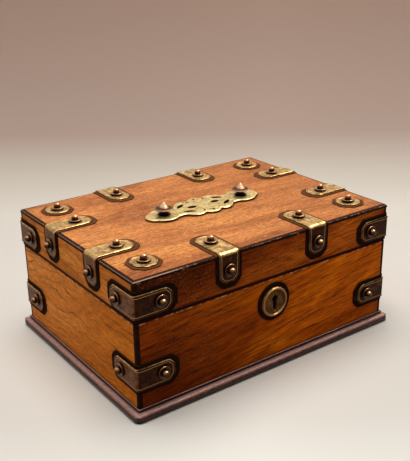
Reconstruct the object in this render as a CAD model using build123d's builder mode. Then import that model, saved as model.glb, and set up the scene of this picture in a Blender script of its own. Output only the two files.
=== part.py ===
from build123d import *
from math import atan2, cos, degrees, radians, sin
import os

# A small wooden coffret: a deep base and a third as deep a lid, hinged at the back, bound with brass.
# Millimetres. X runs along the front, Y from front to back, Z up from the surface it stands on.

# Case, sizes over the wood
case_length = 290.0
case_width = 212.0
wall_thickness = 10.0
body_height = 79.5
lid_height = 36.7
lid_gap = 0.3
rim_chamfer = 0.9
wall_foot = 0.6

# Plinth moulding round the foot
plinth_height = 10.0
plinth_projection = 7.2
plinth_bead = 1.4
plinth_quirk = 1.2
plinth_quirk_depth = 0.7
ovolo_ledge = 2.6
ovolo_shoulder = (5.4, 6.4)
ovolo_nose_rise = 4.0
ovolo_heel = (6.7, 1.7)
plinth_undercut = 2.8
plinth_corner_round = 8.4
plinth_round_margin = 0.1

# Bottom board
bottom_thickness = 7.0
bottom_recess = 1.5

# Lid panel, let in over the rim of the lid's walls
panel_thickness = 7.2
edging_size = 3.2
edging_round = 2.4

# Ebonised square strips in the upright corners
strip_size = 3.6
strip_round = 1.6

# Rounded arrises and bends are drawn as this many flats
bend_flats = 3
squareness = 0.1

# Brass mounts on their ebonised beds
bed_thickness = 0.7
mount_thickness = 1.3
mount_bevel = 0.5
bed_margin = 3.2
bed_end_margin = 5.0
mount_width = 21.0
mount_clip = 5.5

# Straps over the lid's edge
strap_top = 40.0
strap_side = 27.0
strap_offset_front = 51.0
strap_offset_side = 38.0
strap_stud_top = 25.0
strap_stud_side = 15.0

# Brackets round the upright corners
bracket_arm = 36.0
bracket_stud = 24.0
lid_bracket_rise = 14.5
body_bracket_rise = 27.8

# Octagonal plates near the corners of the lid's top
rosette_size = 23.0
rosette_clip = 6.5
rosette_inset = 27.0

# Studs: a cup with a ball in it
stud_foot_radius = 4.2
stud_cup_radius = 5.8
stud_cup_height = 2.9
stud_lip = 0.6
stud_ball_radius = 3.1
stud_ball_crown = 1.3
stud_height = 7.0
stud_sides = 8

# Escutcheon and keyhole
escutcheon_drop = 23.7
escutcheon_bed_radius = 18.4
escutcheon_radius = 14.4
escutcheon_height = 2.6
escutcheon_slope = 1.0
ring_width = 3.2
dish_floor = 1.2
keyhole_margin = 1.2
escutcheon_sides = 36
keyhole_radius = 2.7
keyhole_rise = 3.2
keyhole_slot = 3.0
keyhole_fall = 6.2

# Pierced plate for the handle, with its two turned posts
plate_thickness = 2.6
plate_bevel = 0.8
plate_half_length = 65.0
plate_half_width = 22.0
cusp_round = 1.0
centre_lobe_end = (8.6, 17.2)
shoulder_crown = (16.5, 19.6)
shoulder_end = (26.0, 13.4)
neck_hollow = (31.0, 11.2)
neck_end = (37.0, 12.0)
end_lobe_crown = (47.0, 15.2)
end_lobe_end = (58.0, 9.6)
leaf_spot = (22.0, 8.4)
leaf_length = 12.5
leaf_width = 3.6
leaf_turn = 32.0
eye_offset = 13.5
eye_length = 10.0
eye_width = 4.6
slit_spot = (9.0, 14.6)
slit_length = 5.0
slit_width = 1.6
slit_turn = 65.0
dot_offset = 17.0
dot_radius = 1.1
dot_sides = 8
post_offset = 46.0
post_foot_radius = 5.4
post_neck_radius = 4.3
post_neck_rise = 2.4
post_rim_radius = 8.3
post_rim_height = 6.0
post_rim_edge = 1.0
post_cone_foot = (5.4, 6.6)
post_tip_radius = 0.5
post_height = 12.4
post_shank_radius = 2.5
post_shank_sides = 8
post_sides = 16
post_clearance = 0.1
nut_radius = 5.6
nut_thickness = 2.6
nut_sides = 6
nut_clearance = 0.3
nut_recess = 3.0

# Stopped butt hinges
hinge_offset = 85.0
hinge_length = 34.0
leaf_depth = 9.0
leaf_thickness = 1.2
barrel_radius = 2.2
barrel_sides = 16
barrel_stand_off = 0.2
barrel_clearance = 0.25
knuckle_gap = 0.15
hinge_pin_radius = 1.0
hinge_running_clearance = 0.05
stop_radius = 4.2
stop_angle = 95.0
stop_play = 0.4
stop_thickness_angle = 30.0

# Screws
screw_radius = 1.1
screw_head_radius = 2.2
screw_head_thickness = 0.8
screw_sides = 8
screw_length = 7.5
screw_hole_clearance = 0.5
hinge_screw_spacing = 22.0

# Box lock let into the inside of the front wall
lock_ear = 7.0
lock_height = 36.0
lock_plate_thickness = 1.2
selvedge_thickness = 1.5
selvedge_width = 7.5
lock_case_length = 58.0
lock_case_height = 32.5
lock_chamber = 4.5
lock_rim_thickness = 1.2
lock_cap_thickness = 0.9
lock_clearance = 0.1
lock_screw_drop = 28.0

# Link plate on the lid, with two hooks that the bolt catches
link_inset = 13.8
link_width = 6.0
link_thickness = 2.0
link_drop = 8.8
link_jaw = 2.4
link_notch = 2.8
link_notch_depth = 4.0
link_slot_clearance = 0.5

# Bolt, thrown to the right
bolt_throw = 4.0
bolt_side_play = 0.15
bolt_nose = 2.2
bolt_nose_length = 4.2
bolt_nose_gap = 0.5
bolt_riser = 3.5
bolt_bar = 7.4
bolt_bar_gap = 0.6
bolt_end_play = 0.8
bolt_talon = 7.0
bolt_talon_depth = 2.6
guide_pin_radius = 1.2
guide_pin_inset = 6.0
guide_pin_rise = 4.3
guide_clearance = 0.1
guide_slot_play = 0.6
drill_pin_radius = 1.2
drill_pin_inset = 1.5
lock_pin_sides = 12
bolt_spring_thickness = 0.5
bolt_spring_foot = 4.0
bolt_spring_gap = 0.3
bolt_spring_bend = 0.8

# Lining of card under velvet, and the two pads
lining_thickness = 1.2
soft_clearance = 0.3
lining_rim_drop = 2.0
lining_lock_margin = 1.0
floor_pad_thickness = 5.0
floor_pad_crown = 1.6
lid_pad_thickness = 7.0
lid_pad_crown = 3.0
pad_corner_round = 4.0

# Levels and faces that the pieces share
half_length = case_length / 2
half_width = case_width / 2
joint_z = plinth_height + body_height
lid_rim_z = joint_z + lid_gap
top_z = lid_rim_z + lid_height
panel_foot_z = top_z - panel_thickness
edging_foot_z = top_z - edging_size
floor_z = bottom_recess + bottom_thickness
front_inside_y = -half_width + wall_thickness
key_z = joint_z - escutcheon_drop
mount_face = bed_thickness + mount_thickness
lock_length = lock_case_length + 2 * lock_ear
lock_screw_offset = (lock_length + lock_case_length) / 4
chamber_half_length = lock_case_length / 2 - lock_rim_thickness
link_offset = chamber_half_length - link_inset
bolt_tail = chamber_half_length - bolt_throw - bolt_end_play
guide_pin_offset = bolt_tail - guide_pin_inset
hinge_y = half_width + barrel_stand_off + barrel_radius
hinge_z = joint_z + lid_gap / 2

# Side frames: x along the side, y inward from its outer face, z up
sides = {
    "front": (case_length, Plane((0, -half_width, 0), x_dir=(1, 0, 0))),
    "right": (case_width, Plane((half_length, 0, 0), x_dir=(0, 1, 0))),
    "back": (case_length, Plane((0, half_width, 0), x_dir=(-1, 0, 0))),
    "left": (case_width, Plane((-half_length, 0, 0), x_dir=(0, -1, 0))),
}

# Corner frames: x and y both run into the wood from the upright arris
corners = [
    Plane((-half_length, -half_width, 0), x_dir=(1, 0, 0)),
    Plane((half_length, -half_width, 0), x_dir=(0, 1, 0)),
    Plane((half_length, half_width, 0), x_dir=(-1, 0, 0)),
    Plane((-half_length, half_width, 0), x_dir=(0, -1, 0)),
]

os.makedirs("parts", exist_ok=True)


def save(shape, name):
    """Label one finished piece and write its file."""
    shape.label = name
    export_step(shape, f"parts/{name}.step")


def placed(shape, frames):
    """Copies of one shape, one in each frame."""
    with BuildPart() as group:
        with Locations(*[frame.location for frame in frames]):
            add(shape)
    return group.part


def rounding(centre, radius):
    """Points round a quarter turn, from due left of the centre to straight above it."""
    turns = [radians(90 * step / bend_flats) for step in range(bend_flats + 1)]
    return [(centre[0] - radius * cos(turn), centre[1] + radius * sin(turn)) for turn in turns]


# Plinth: bead, quirk and ovolo, mitred at the corners and rounded off there
def plinth_moulding(length, width):
    with BuildPart() as moulding:
        with BuildSketch(Plane.YZ):
            with BuildLine():
                bead_foot = plinth_height - plinth_bead
                ledge_z = bead_foot - plinth_quirk
                nose = (-plinth_projection, ovolo_nose_rise)
                heel_y = plinth_undercut - plinth_projection
                Line((0, 0), (0, plinth_height))
                Line((0, plinth_height), (-plinth_quirk_depth, plinth_height))
                ThreePointArc(
                    (-plinth_quirk_depth, plinth_height),
                    (-plinth_bead, plinth_height - plinth_bead / 2),
                    (-plinth_quirk_depth, bead_foot),
                )
                Line((-plinth_quirk_depth, bead_foot), (-plinth_quirk_depth, ledge_z))
                Line((-plinth_quirk_depth, ledge_z), (-ovolo_ledge, ledge_z))
                ThreePointArc((-ovolo_ledge, ledge_z), (-ovolo_shoulder[0], ovolo_shoulder[1]), nose)
                ThreePointArc(nose, (-ovolo_heel[0], ovolo_heel[1]), (heel_y, 0))
                Line((heel_y, 0), (0, 0))
            make_face()
        extrude(amount=length / 2 + plinth_projection, both=True)
        for end in (-1, 1):
            mitre = Plane((end * length / 2, 0, 0), z_dir=(-end, -1, 0))
            split(bisect_by=mitre, keep=Keep.TOP)
        with BuildSketch():
            with Locations((0, width / 2)):
                reach = 2 * (plinth_projection + plinth_round_margin)
                RectangleRounded(length + reach, width + reach, plinth_corner_round)
        extrude(amount=plinth_height, mode=Mode.INTERSECT)
    return moulding.part


for side, (length, frame) in sides.items():
    width = case_width if length == case_length else case_length
    save(placed(plinth_moulding(length, width), [frame]), f"plinth_{side}")

# Bottom board, glued between the walls
with BuildPart() as bottom_board:
    with BuildSketch(Plane.XY.offset(bottom_recess)):
        Rectangle(case_length - 2 * wall_thickness, case_width - 2 * wall_thickness)
    extrude(amount=bottom_thickness)
save(bottom_board.part, "bottom_board")


# Wall boards, mitred, with a rebate at each end for the corner strip
def wall_board(length, foot, head, rim_at_head):
    half = length / 2
    with BuildPart() as board:
        with BuildSketch(Plane.XY.offset(foot)):
            with BuildLine():
                Polyline(
                    (-half + strip_size, 0),
                    (half - strip_size, 0),
                    (half - strip_size, strip_size),
                    (half - wall_thickness, wall_thickness),
                    (-half + wall_thickness, wall_thickness),
                    (-half + strip_size, strip_size),
                    close=True,
                )
            make_face()
        extrude(amount=head - foot)
        outer_edges = board.edges().filter_by(Axis.X).group_by(Axis.Y)[0].sort_by(Axis.Z)
        chamfer(outer_edges[-1] if rim_at_head else outer_edges[0], rim_chamfer)
    return board.part


# Ebonised strips, one in each upright corner
def corner_strips(foot, head, rim_at_head):
    with BuildPart() as strip:
        with BuildSketch(Plane.XY.offset(foot)):
            with BuildLine():
                arris = [(x, strip_round - y) for x, y in rounding((strip_round, 0), strip_round)]
                Polyline((strip_size, strip_size), (0, strip_size), *arris, (strip_size, 0), close=True)
            make_face()
        extrude(amount=head - foot)
        rim = strip.faces().sort_by(Axis.Z)[-1 if rim_at_head else 0]
        inner = strip_size - rim_chamfer / 2
        outer_edges = rim.edges().filter_by(lambda e: e.center().X < inner and e.center().Y < inner)
        chamfer(outer_edges, rim_chamfer)
    return placed(strip.part, corners)


save(corner_strips(wall_foot, joint_z, True), "body_corner_strips")
save(corner_strips(lid_rim_z, edging_foot_z, False), "lid_corner_strips")


# Ebonised edging round the lid's top arris, mitred at the corners
def lid_edging(length):
    with BuildPart() as edging:
        with BuildSketch(Plane.YZ):
            with BuildLine():
                arris = rounding((edging_round, top_z - edging_round), edging_round)
                inner_foot = (edging_size, edging_foot_z)
                Polyline(inner_foot, (0, edging_foot_z), *arris, (edging_size, top_z), close=True)
            make_face()
        extrude(amount=length / 2, both=True)
        for end in (-1, 1):
            mitre = Plane((end * length / 2, 0, 0), z_dir=(-end, -1, 0))
            split(bisect_by=mitre, keep=Keep.TOP)
    return edging.part


for side, (length, frame) in sides.items():
    save(placed(lid_edging(length), [frame]), f"lid_edging_{side}")


# Keyhole: a round bow above a slot, in the plane of the escutcheon's face
def keyhole_outline():
    with BuildSketch() as outline:
        with Locations((0, keyhole_rise)):
            Circle(keyhole_radius)
            Rectangle(keyhole_slot, keyhole_rise + keyhole_fall, align=(Align.CENTER, Align.MAX))
    return outline.sketch


front_face = Plane((0, -half_width, key_z), x_dir=(1, 0, 0), z_dir=(0, -1, 0))

# Where the butt hinges, the nuts and the screws stand
hinge_frames = [Plane((side * hinge_offset, hinge_y, hinge_z)) for side in (-1, 1)]
leaf_tail = barrel_stand_off + barrel_radius + leaf_depth
half_gap = lid_gap / 2
leaf_screw_y = -(barrel_stand_off + barrel_radius + leaf_depth / 2)


def leaf_screw_frames(body_side):
    """Frames on the faces of both leaves, z out of the leaf's open face."""
    frames = []
    for frame in hinge_frames:
        for end in (-1, 1):
            rise = -half_gap if body_side else half_gap
            spot = frame.from_local_coords((end * hinge_screw_spacing / 2, leaf_screw_y, rise))
            frames.append(Plane(spot, x_dir=(1, 0, 0), z_dir=(0, 0, 1 if body_side else -1)))
    return frames


lock_y = front_inside_y - lock_plate_thickness - lock_chamber / 2
selvedge_y = front_inside_y - selvedge_width / 2
selvedge_screw_frames = [Plane((end * lock_screw_offset, selvedge_y, joint_z)) for end in (-1, 1)]
lock_back_screw_frames = [
    Plane(
        (end * lock_screw_offset, front_inside_y, joint_z - lock_screw_drop),
        x_dir=(-1, 0, 0),
        z_dir=(0, 1, 0),
    )
    for end in (-1, 1)
]
link_screw_frames = [
    Plane((end * lock_screw_offset, selvedge_y, lid_rim_z), x_dir=(1, 0, 0), z_dir=(0, 0, -1))
    for end in (-1, 1)
]


# Screw with a flat head let in flush with the plate it holds, and the hole for it
def screw(length):
    with BuildPart() as one:
        with BuildSketch():
            RegularPolygon(screw_head_radius, screw_sides)
        extrude(amount=-screw_head_thickness)
        with BuildSketch():
            RegularPolygon(screw_radius, screw_sides)
        extrude(amount=-length)
    return one.part


one_screw = screw(screw_length)
screw_void = screw(screw_length + screw_hole_clearance)
body_leaf_screws = leaf_screw_frames(True)
lid_leaf_screws = leaf_screw_frames(False)
save(placed(one_screw, body_leaf_screws), "body_hinge_screws")
save(placed(one_screw, selvedge_screw_frames + lock_back_screw_frames), "lock_screws")
save(placed(one_screw, lid_leaf_screws + link_screw_frames), "lid_screws")

# Front wall, with the lock's mortise and the keyhole
with BuildPart() as wall_front:
    add(placed(wall_board(case_length, wall_foot, joint_z, True), [sides["front"][1]]))
    mortise_depth = lock_plate_thickness + lock_chamber + lock_cap_thickness + lock_clearance
    with Locations((0, front_inside_y, joint_z)):
        Box(
            lock_case_length + 2 * lock_clearance,
            mortise_depth,
            lock_case_height + lock_clearance,
            align=(Align.CENTER, Align.MAX, Align.MAX),
            mode=Mode.SUBTRACT,
        )
        Box(
            lock_length,
            lock_plate_thickness,
            lock_height,
            align=(Align.CENTER, Align.MAX, Align.MAX),
            mode=Mode.SUBTRACT,
        )
        Box(
            lock_length,
            selvedge_width,
            selvedge_thickness,
            align=(Align.CENTER, Align.MAX, Align.MAX),
            mode=Mode.SUBTRACT,
        )
    with BuildSketch(front_face):
        add(keyhole_outline())
    extrude(amount=-wall_thickness, mode=Mode.SUBTRACT)
    with Locations(*[f.location for f in selvedge_screw_frames + lock_back_screw_frames]):
        add(screw_void, mode=Mode.SUBTRACT)
save(wall_front.part, "wall_front")


# Back walls of the body and the lid, let in for the hinge leaves
def back_wall(foot, head, body_side):
    with BuildPart() as wall:
        add(placed(wall_board(case_length, foot, head, body_side), [sides["back"][1]]))
        rim = head if body_side else foot
        upright = Align.MAX if body_side else Align.MIN
        with Locations(*[(f.origin.X, half_width, rim) for f in hinge_frames]):
            Box(
                hinge_length,
                leaf_depth,
                leaf_thickness,
                align=(Align.CENTER, Align.MAX, upright),
                mode=Mode.SUBTRACT,
            )
        screws = body_leaf_screws if body_side else lid_leaf_screws
        with Locations(*[f.location for f in screws]):
            add(screw_void, mode=Mode.SUBTRACT)
    return wall.part


save(back_wall(wall_foot, joint_z, True), "wall_back")
save(back_wall(lid_rim_z, edging_foot_z, False), "lid_back")

for side in ("left", "right"):
    length, frame = sides[side]
    save(placed(wall_board(length, wall_foot, joint_z, True), [frame]), f"wall_{side}")
    save(placed(wall_board(length, lid_rim_z, edging_foot_z, False), [frame]), f"lid_{side}")

# Lid front, let in for the link plate
with BuildPart() as lid_front:
    add(placed(wall_board(case_length, lid_rim_z, edging_foot_z, False), [sides["front"][1]]))
    with Locations((0, front_inside_y, lid_rim_z)):
        Box(
            lock_length,
            selvedge_width,
            selvedge_thickness,
            align=(Align.CENTER, Align.MAX, Align.MIN),
            mode=Mode.SUBTRACT,
        )
    with Locations(*[f.location for f in link_screw_frames]):
        add(screw_void, mode=Mode.SUBTRACT)
save(lid_front.part, "lid_front")

# Hole for a post's shank, which has flats so that it can't turn
def post_hole():
    with BuildSketch() as hole:
        RegularPolygon(post_shank_radius + post_clearance, post_shank_sides, major_radius=False)
    return hole.sketch


# Lid panel: the field between the edgings, with a tongue that drops inside the walls
with BuildPart() as lid_panel:
    with BuildSketch(Plane.XY.offset(edging_foot_z)):
        Rectangle(case_length - 2 * edging_size, case_width - 2 * edging_size)
    extrude(amount=edging_size)
    with BuildSketch(Plane.XY.offset(panel_foot_z)):
        Rectangle(case_length - 2 * wall_thickness, case_width - 2 * wall_thickness)
    extrude(amount=panel_thickness - edging_size)
    for end in (-1, 1):
        with BuildSketch(Plane.XY.offset(panel_foot_z)):
            with Locations((end * post_offset, 0)):
                add(post_hole())
        extrude(amount=panel_thickness, mode=Mode.SUBTRACT)
        with BuildSketch(Plane.XY.offset(panel_foot_z)):
            with Locations((end * post_offset, 0)):
                RegularPolygon(nut_radius + nut_clearance, nut_sides)
        extrude(amount=nut_recess, mode=Mode.SUBTRACT)
save(lid_panel.part, "lid_panel")


def faces_out(face):
    """Whether a face of a bent plate is on its side away from the wood."""
    normal = face.normal_at()
    return abs(normal.X) < squareness and normal.Y < squareness and normal.Z > -squareness


# A flat strip bent round a rounded arris, with clipped ends.
# The wood fills y above 0 and z below 0. The strip runs from inner to outer off the wood.
def bent_plate(inner, outer, bend, top_leg, side_leg, width, clip, bevel):
    with BuildPart() as strip:
        with BuildSketch(Plane.YZ):
            with BuildLine():
                inside = [(-inner, -side_leg), *rounding((bend, -bend), bend + inner), (top_leg, inner)]
                outside = [(-outer, -side_leg), *rounding((bend, -bend), bend + outer), (top_leg, outer)]
                Polyline(*inside, *reversed(outside), close=True)
            make_face()
        extrude(amount=width / 2, both=True)
        chamfer(strip.edges().filter_by(Axis.Z).group_by(Axis.Y)[-1], clip)
        chamfer(strip.edges().filter_by(Axis.Y).group_by(Axis.Z)[0], clip)
        if bevel:
            skin = [face for face in strip.faces() if faces_out(face)]
            edges = [edge for face in skin for edge in face.edges()]
            rim = [edge for edge in edges if edges.count(edge) == 1]
            chamfer(rim, bevel)
    return strip.part


def strap(inner, outer, margin, end_margin, bevel):
    return bent_plate(
        inner,
        outer,
        edging_round,
        strap_top + end_margin,
        strap_side + end_margin,
        mount_width + 2 * margin,
        mount_clip + margin / 2,
        bevel,
    )


def bracket(inner, outer, margin, end_margin, bevel):
    return bent_plate(
        inner,
        outer,
        strip_round,
        bracket_arm + end_margin,
        bracket_arm + end_margin,
        mount_width + 2 * margin,
        mount_clip + margin / 2,
        bevel,
    )


strap_offsets = {
    "front": strap_offset_front,
    "right": strap_offset_side,
    "back": strap_offset_front,
    "left": strap_offset_side,
}


def strap_frames(side):
    length, frame = sides[side]
    return [
        Plane(frame.from_local_coords((end * strap_offsets[side], 0, top_z)), x_dir=frame.x_dir)
        for end in (-1, 1)
    ]


def bracket_frame(corner, height):
    """A bent plate turned so that its legs lie on the two faces of an upright corner."""
    spot = corner.from_local_coords((0, 0, height))
    return Plane(spot, x_dir=(0, 0, -1), z_dir=-corner.y_dir)


all_strap_frames = [frame for side in sides for frame in strap_frames(side)]
lid_bracket_z = joint_z + lid_bracket_rise
body_bracket_z = plinth_height + body_bracket_rise
lid_bracket_frames = [bracket_frame(corner, lid_bracket_z) for corner in corners]
body_bracket_frames = [bracket_frame(corner, body_bracket_z) for corner in corners]

strap_bed = strap(0, bed_thickness, bed_margin, bed_end_margin, 0)
strap_plate = strap(bed_thickness, mount_face, 0, 0, mount_bevel)
bracket_bed = bracket(0, bed_thickness, bed_margin, bed_end_margin, 0)
bracket_plate = bracket(bed_thickness, mount_face, 0, 0, mount_bevel)

save(placed(strap_bed, all_strap_frames), "strap_beds")
for side in sides:
    save(placed(strap_plate, strap_frames(side)), f"straps_{side}")
save(placed(bracket_bed, lid_bracket_frames), "lid_bracket_beds")
save(placed(bracket_bed, body_bracket_frames), "body_bracket_beds")
for where, pair in (("front", corners[:2]), ("back", corners[2:])):
    lid_pair = [bracket_frame(corner, lid_bracket_z) for corner in pair]
    body_pair = [bracket_frame(corner, body_bracket_z) for corner in pair]
    save(placed(bracket_plate, lid_pair), f"lid_brackets_{where}")
    save(placed(bracket_plate, body_pair), f"body_brackets_{where}")


# Octagonal plates near the corners of the lid's top
def octagon(size, clip, foot, thickness, bevel):
    with BuildPart() as plate:
        with BuildSketch(Plane.XY.offset(foot)) as outline:
            Rectangle(size, size)
            chamfer(outline.vertices(), clip)
        extrude(amount=thickness)
        if bevel:
            chamfer(plate.faces().sort_by(Axis.Z)[-1].edges(), bevel)
    return plate.part


rosette_frames = [
    Plane(corner.from_local_coords((rosette_inset, rosette_inset, top_z)), x_dir=corner.x_dir)
    for corner in corners
]
rosette_bed = octagon(
    rosette_size + 2 * bed_margin, rosette_clip + bed_margin / 2, 0, bed_thickness, 0
)
rosette = octagon(rosette_size, rosette_clip, bed_thickness, mount_thickness, mount_bevel)
save(placed(rosette_bed, rosette_frames), "rosette_beds")
save(placed(rosette, rosette_frames), "rosettes")


# Stud: a cup that widens from its foot, with a bead seated in it. Radii are across the flats
def stud():
    with BuildPart() as one:
        with BuildSketch():
            RegularPolygon(stud_cup_radius, stud_sides, major_radius=False)
        extrude(amount=stud_cup_height)
        foot = one.faces().sort_by(Axis.Z)[0]
        slope = stud_cup_radius - stud_foot_radius
        chamfer(foot.edges(), slope, stud_cup_height - stud_lip, reference=foot)
        with BuildSketch(Plane.XY.offset(stud_cup_height)):
            RegularPolygon(stud_ball_radius, stud_sides, major_radius=False)
        rise = stud_height - stud_cup_height
        extrude(amount=rise, taper=degrees(atan2(stud_ball_radius - stud_ball_crown, rise)))
    return one.part


def on_leg(frame, along, top_leg):
    """The frame of a stud on one leg of a bent plate, z out of the plate."""
    if top_leg:
        return Plane(
            frame.from_local_coords((0, along, mount_face)), x_dir=frame.x_dir, z_dir=frame.z_dir
        )
    return Plane(
        frame.from_local_coords((0, -mount_face, -along)), x_dir=frame.x_dir, z_dir=-frame.y_dir
    )


strap_stud_frames = [on_leg(frame, strap_stud_top, True) for frame in all_strap_frames]
strap_stud_frames += [on_leg(frame, strap_stud_side, False) for frame in all_strap_frames]
rosette_stud_frames = [Plane(frame.from_local_coords((0, 0, mount_face))) for frame in rosette_frames]


def bracket_stud_frames(frames):
    return [on_leg(frame, bracket_stud, leg) for frame in frames for leg in (True, False)]


lid_stud_frames = strap_stud_frames + rosette_stud_frames + bracket_stud_frames(lid_bracket_frames)
one_stud = stud()
save(placed(one_stud, lid_stud_frames), "lid_studs")
save(placed(one_stud, bracket_stud_frames(body_bracket_frames)), "body_studs")

# Escutcheon: a raised ring round a dished floor, on a round ebonised bed
with BuildPart() as escutcheon_bed:
    with BuildSketch(front_face):
        RegularPolygon(escutcheon_bed_radius, escutcheon_sides, major_radius=False)
        opening = keyhole_outline().bounding_box()
        with Locations(opening.center()):
            Rectangle(
                opening.size.X + 2 * keyhole_margin,
                opening.size.Y + 2 * keyhole_margin,
                mode=Mode.SUBTRACT,
            )
    extrude(amount=bed_thickness)
save(escutcheon_bed.part, "escutcheon_bed")

with BuildPart() as escutcheon:
    with BuildSketch(Plane.XY.offset(bed_thickness)):
        RegularPolygon(escutcheon_radius, escutcheon_sides, major_radius=False)
    extrude(amount=escutcheon_height)
    chamfer(escutcheon.faces().sort_by(Axis.Z)[-1].edges(), escutcheon_slope)
    with BuildSketch(Plane.XY.offset(bed_thickness + dish_floor)):
        RegularPolygon(escutcheon_radius - ring_width, escutcheon_sides, major_radius=False)
    extrude(amount=escutcheon_height, mode=Mode.SUBTRACT)
    with BuildSketch(Plane.XY.offset(bed_thickness)):
        add(keyhole_outline())
    extrude(amount=escutcheon_height, mode=Mode.SUBTRACT)
save(placed(escutcheon.part, [front_face]), "escutcheon")

# Pierced handle plate: three scalloped lobes on each long side, between two round ends
def plate_outline():
    with BuildSketch() as outline:
        with BuildLine():
            for y in (-1, 1):
                ThreePointArc(
                    (-centre_lobe_end[0], y * centre_lobe_end[1]),
                    (0, y * plate_half_width),
                    (centre_lobe_end[0], y * centre_lobe_end[1]),
                )
                for x in (-1, 1):
                    start = (x * centre_lobe_end[0], y * centre_lobe_end[1])
                    shoulder = (x * shoulder_end[0], y * shoulder_end[1])
                    neck = (x * neck_end[0], y * neck_end[1])
                    tip = (x * end_lobe_end[0], y * end_lobe_end[1])
                    ThreePointArc(start, (x * shoulder_crown[0], y * shoulder_crown[1]), shoulder)
                    ThreePointArc(shoulder, (x * neck_hollow[0], y * neck_hollow[1]), neck)
                    ThreePointArc(neck, (x * end_lobe_crown[0], y * end_lobe_crown[1]), tip)
            for x in (-1, 1):
                ThreePointArc(
                    (x * end_lobe_end[0], -end_lobe_end[1]),
                    (x * plate_half_length, 0),
                    (x * end_lobe_end[0], end_lobe_end[1]),
                )
        make_face()
        fillet(outline.vertices(), cusp_round)
    return outline.sketch


def lozenge(length, width):
    with BuildSketch() as opening:
        with BuildLine():
            Polyline((-length / 2, 0), (0, width / 2), (length / 2, 0), (0, -width / 2), close=True)
        make_face()
    return opening.sketch


def pointed_opening(length, width):
    with BuildSketch() as opening:
        with BuildLine():
            ThreePointArc((-length / 2, 0), (0, width / 2), (length / 2, 0))
            ThreePointArc((-length / 2, 0), (0, -width / 2), (length / 2, 0))
        make_face()
    return opening.sketch


def plate_openings():
    with BuildSketch() as openings:
        for x in (-1, 1):
            with Locations((x * post_offset, 0)):
                add(post_hole())
            with Locations((x * eye_offset, 0)):
                add(pointed_opening(eye_length, eye_width))
            for y in (-1, 1):
                with Locations(Location((x * leaf_spot[0], y * leaf_spot[1]), -x * y * leaf_turn)):
                    add(pointed_opening(leaf_length, leaf_width))
                with Locations(Location((x * slit_spot[0], y * slit_spot[1]), x * y * slit_turn)):
                    add(lozenge(slit_length, slit_width))
        for y in (-1, 1):
            with Locations((0, y * dot_offset)):
                RegularPolygon(dot_radius, dot_sides)
    return openings.sketch


with BuildPart() as handle_plate:
    with BuildSketch(Plane.XY.offset(top_z)):
        add(plate_outline())
    extrude(amount=plate_thickness)
    chamfer(handle_plate.faces().sort_by(Axis.Z)[-1].edges(), plate_bevel)
    with BuildSketch(Plane.XY.offset(top_z)):
        add(plate_openings())
    extrude(amount=plate_thickness, mode=Mode.SUBTRACT)
save(handle_plate.part, "handle_plate")

# Turned posts: waisted foot, wide rim and cone, with a shank down through the panel
post_tapers = [
    ((post_foot_radius, 0), (post_neck_radius, post_neck_rise)),
    ((post_rim_radius, post_rim_height), post_cone_foot),
    (post_cone_foot, (post_tip_radius, post_height)),
]
with BuildPart() as post:
    with BuildSketch(Plane.XY.offset(post_neck_rise)):
        RegularPolygon(post_rim_radius, post_sides, major_radius=False)
    extrude(amount=post_rim_height - post_neck_rise)
    underside = post.faces().sort_by(Axis.Z)[0]
    flare = post_rim_height - post_rim_edge - post_neck_rise
    chamfer(underside.edges(), post_rim_radius - post_neck_radius, flare, reference=underside)
    for (radius, level), (end_radius, end_level) in post_tapers:
        with BuildSketch(Plane.XY.offset(level)):
            RegularPolygon(radius, post_sides, major_radius=False)
        rise = end_level - level
        extrude(amount=rise, taper=degrees(atan2(radius - end_radius, rise)))
    with BuildSketch():
        RegularPolygon(post_shank_radius, post_shank_sides, major_radius=False)
    extrude(amount=-(plate_thickness + panel_thickness - nut_recess + nut_thickness))
post_frames = [Plane((end * post_offset, 0, top_z + plate_thickness)) for end in (-1, 1)]
save(placed(post.part, post_frames), "handle_posts")

with BuildPart() as nut:
    with BuildSketch():
        RegularPolygon(nut_radius, nut_sides)
        RegularPolygon(
            post_shank_radius, post_shank_sides, major_radius=False, mode=Mode.SUBTRACT
        )
    extrude(amount=nut_thickness)
nut_z = panel_foot_z + nut_recess - nut_thickness
nut_frames = [Plane((end * post_offset, 0, nut_z)) for end in (-1, 1)]
save(placed(nut.part, nut_frames), "post_nuts")


# Stopped butt hinge: leaf and barrel, and a wedge behind whose face meets the other leaf's
def hinge_leaf(open_spans, bore_radius):
    face_angle = radians((stop_angle + stop_play) / 2)
    back_angle = face_angle + radians(stop_thickness_angle)
    with BuildPart() as leaf:
        with Locations((0, 0, -half_gap)):
            Box(hinge_length, leaf_tail, leaf_thickness, align=(Align.CENTER, Align.MAX, Align.MAX))
        with BuildSketch(Plane.YZ):
            RegularPolygon(barrel_radius, barrel_sides)
            with BuildLine():
                Polyline(
                    (0, 0),
                    (stop_radius * cos(face_angle), -stop_radius * sin(face_angle)),
                    (stop_radius * cos(back_angle), -stop_radius * sin(back_angle)),
                    close=True,
                )
            make_face()
        extrude(amount=hinge_length / 2, both=True)
        for start, end in open_spans:
            with BuildSketch(Plane.YZ.offset(start)):
                RegularPolygon(barrel_radius + barrel_clearance, barrel_sides, major_radius=False)
            extrude(amount=end - start, mode=Mode.SUBTRACT)
        with BuildSketch(Plane.YZ.offset(-hinge_length / 2)):
            Circle(bore_radius)
        extrude(amount=hinge_length, mode=Mode.SUBTRACT)
        with Locations(*[(end * hinge_screw_spacing / 2, leaf_screw_y, -half_gap) for end in (-1, 1)]):
            add(screw_void, mode=Mode.SUBTRACT)
    return leaf.part


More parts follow.
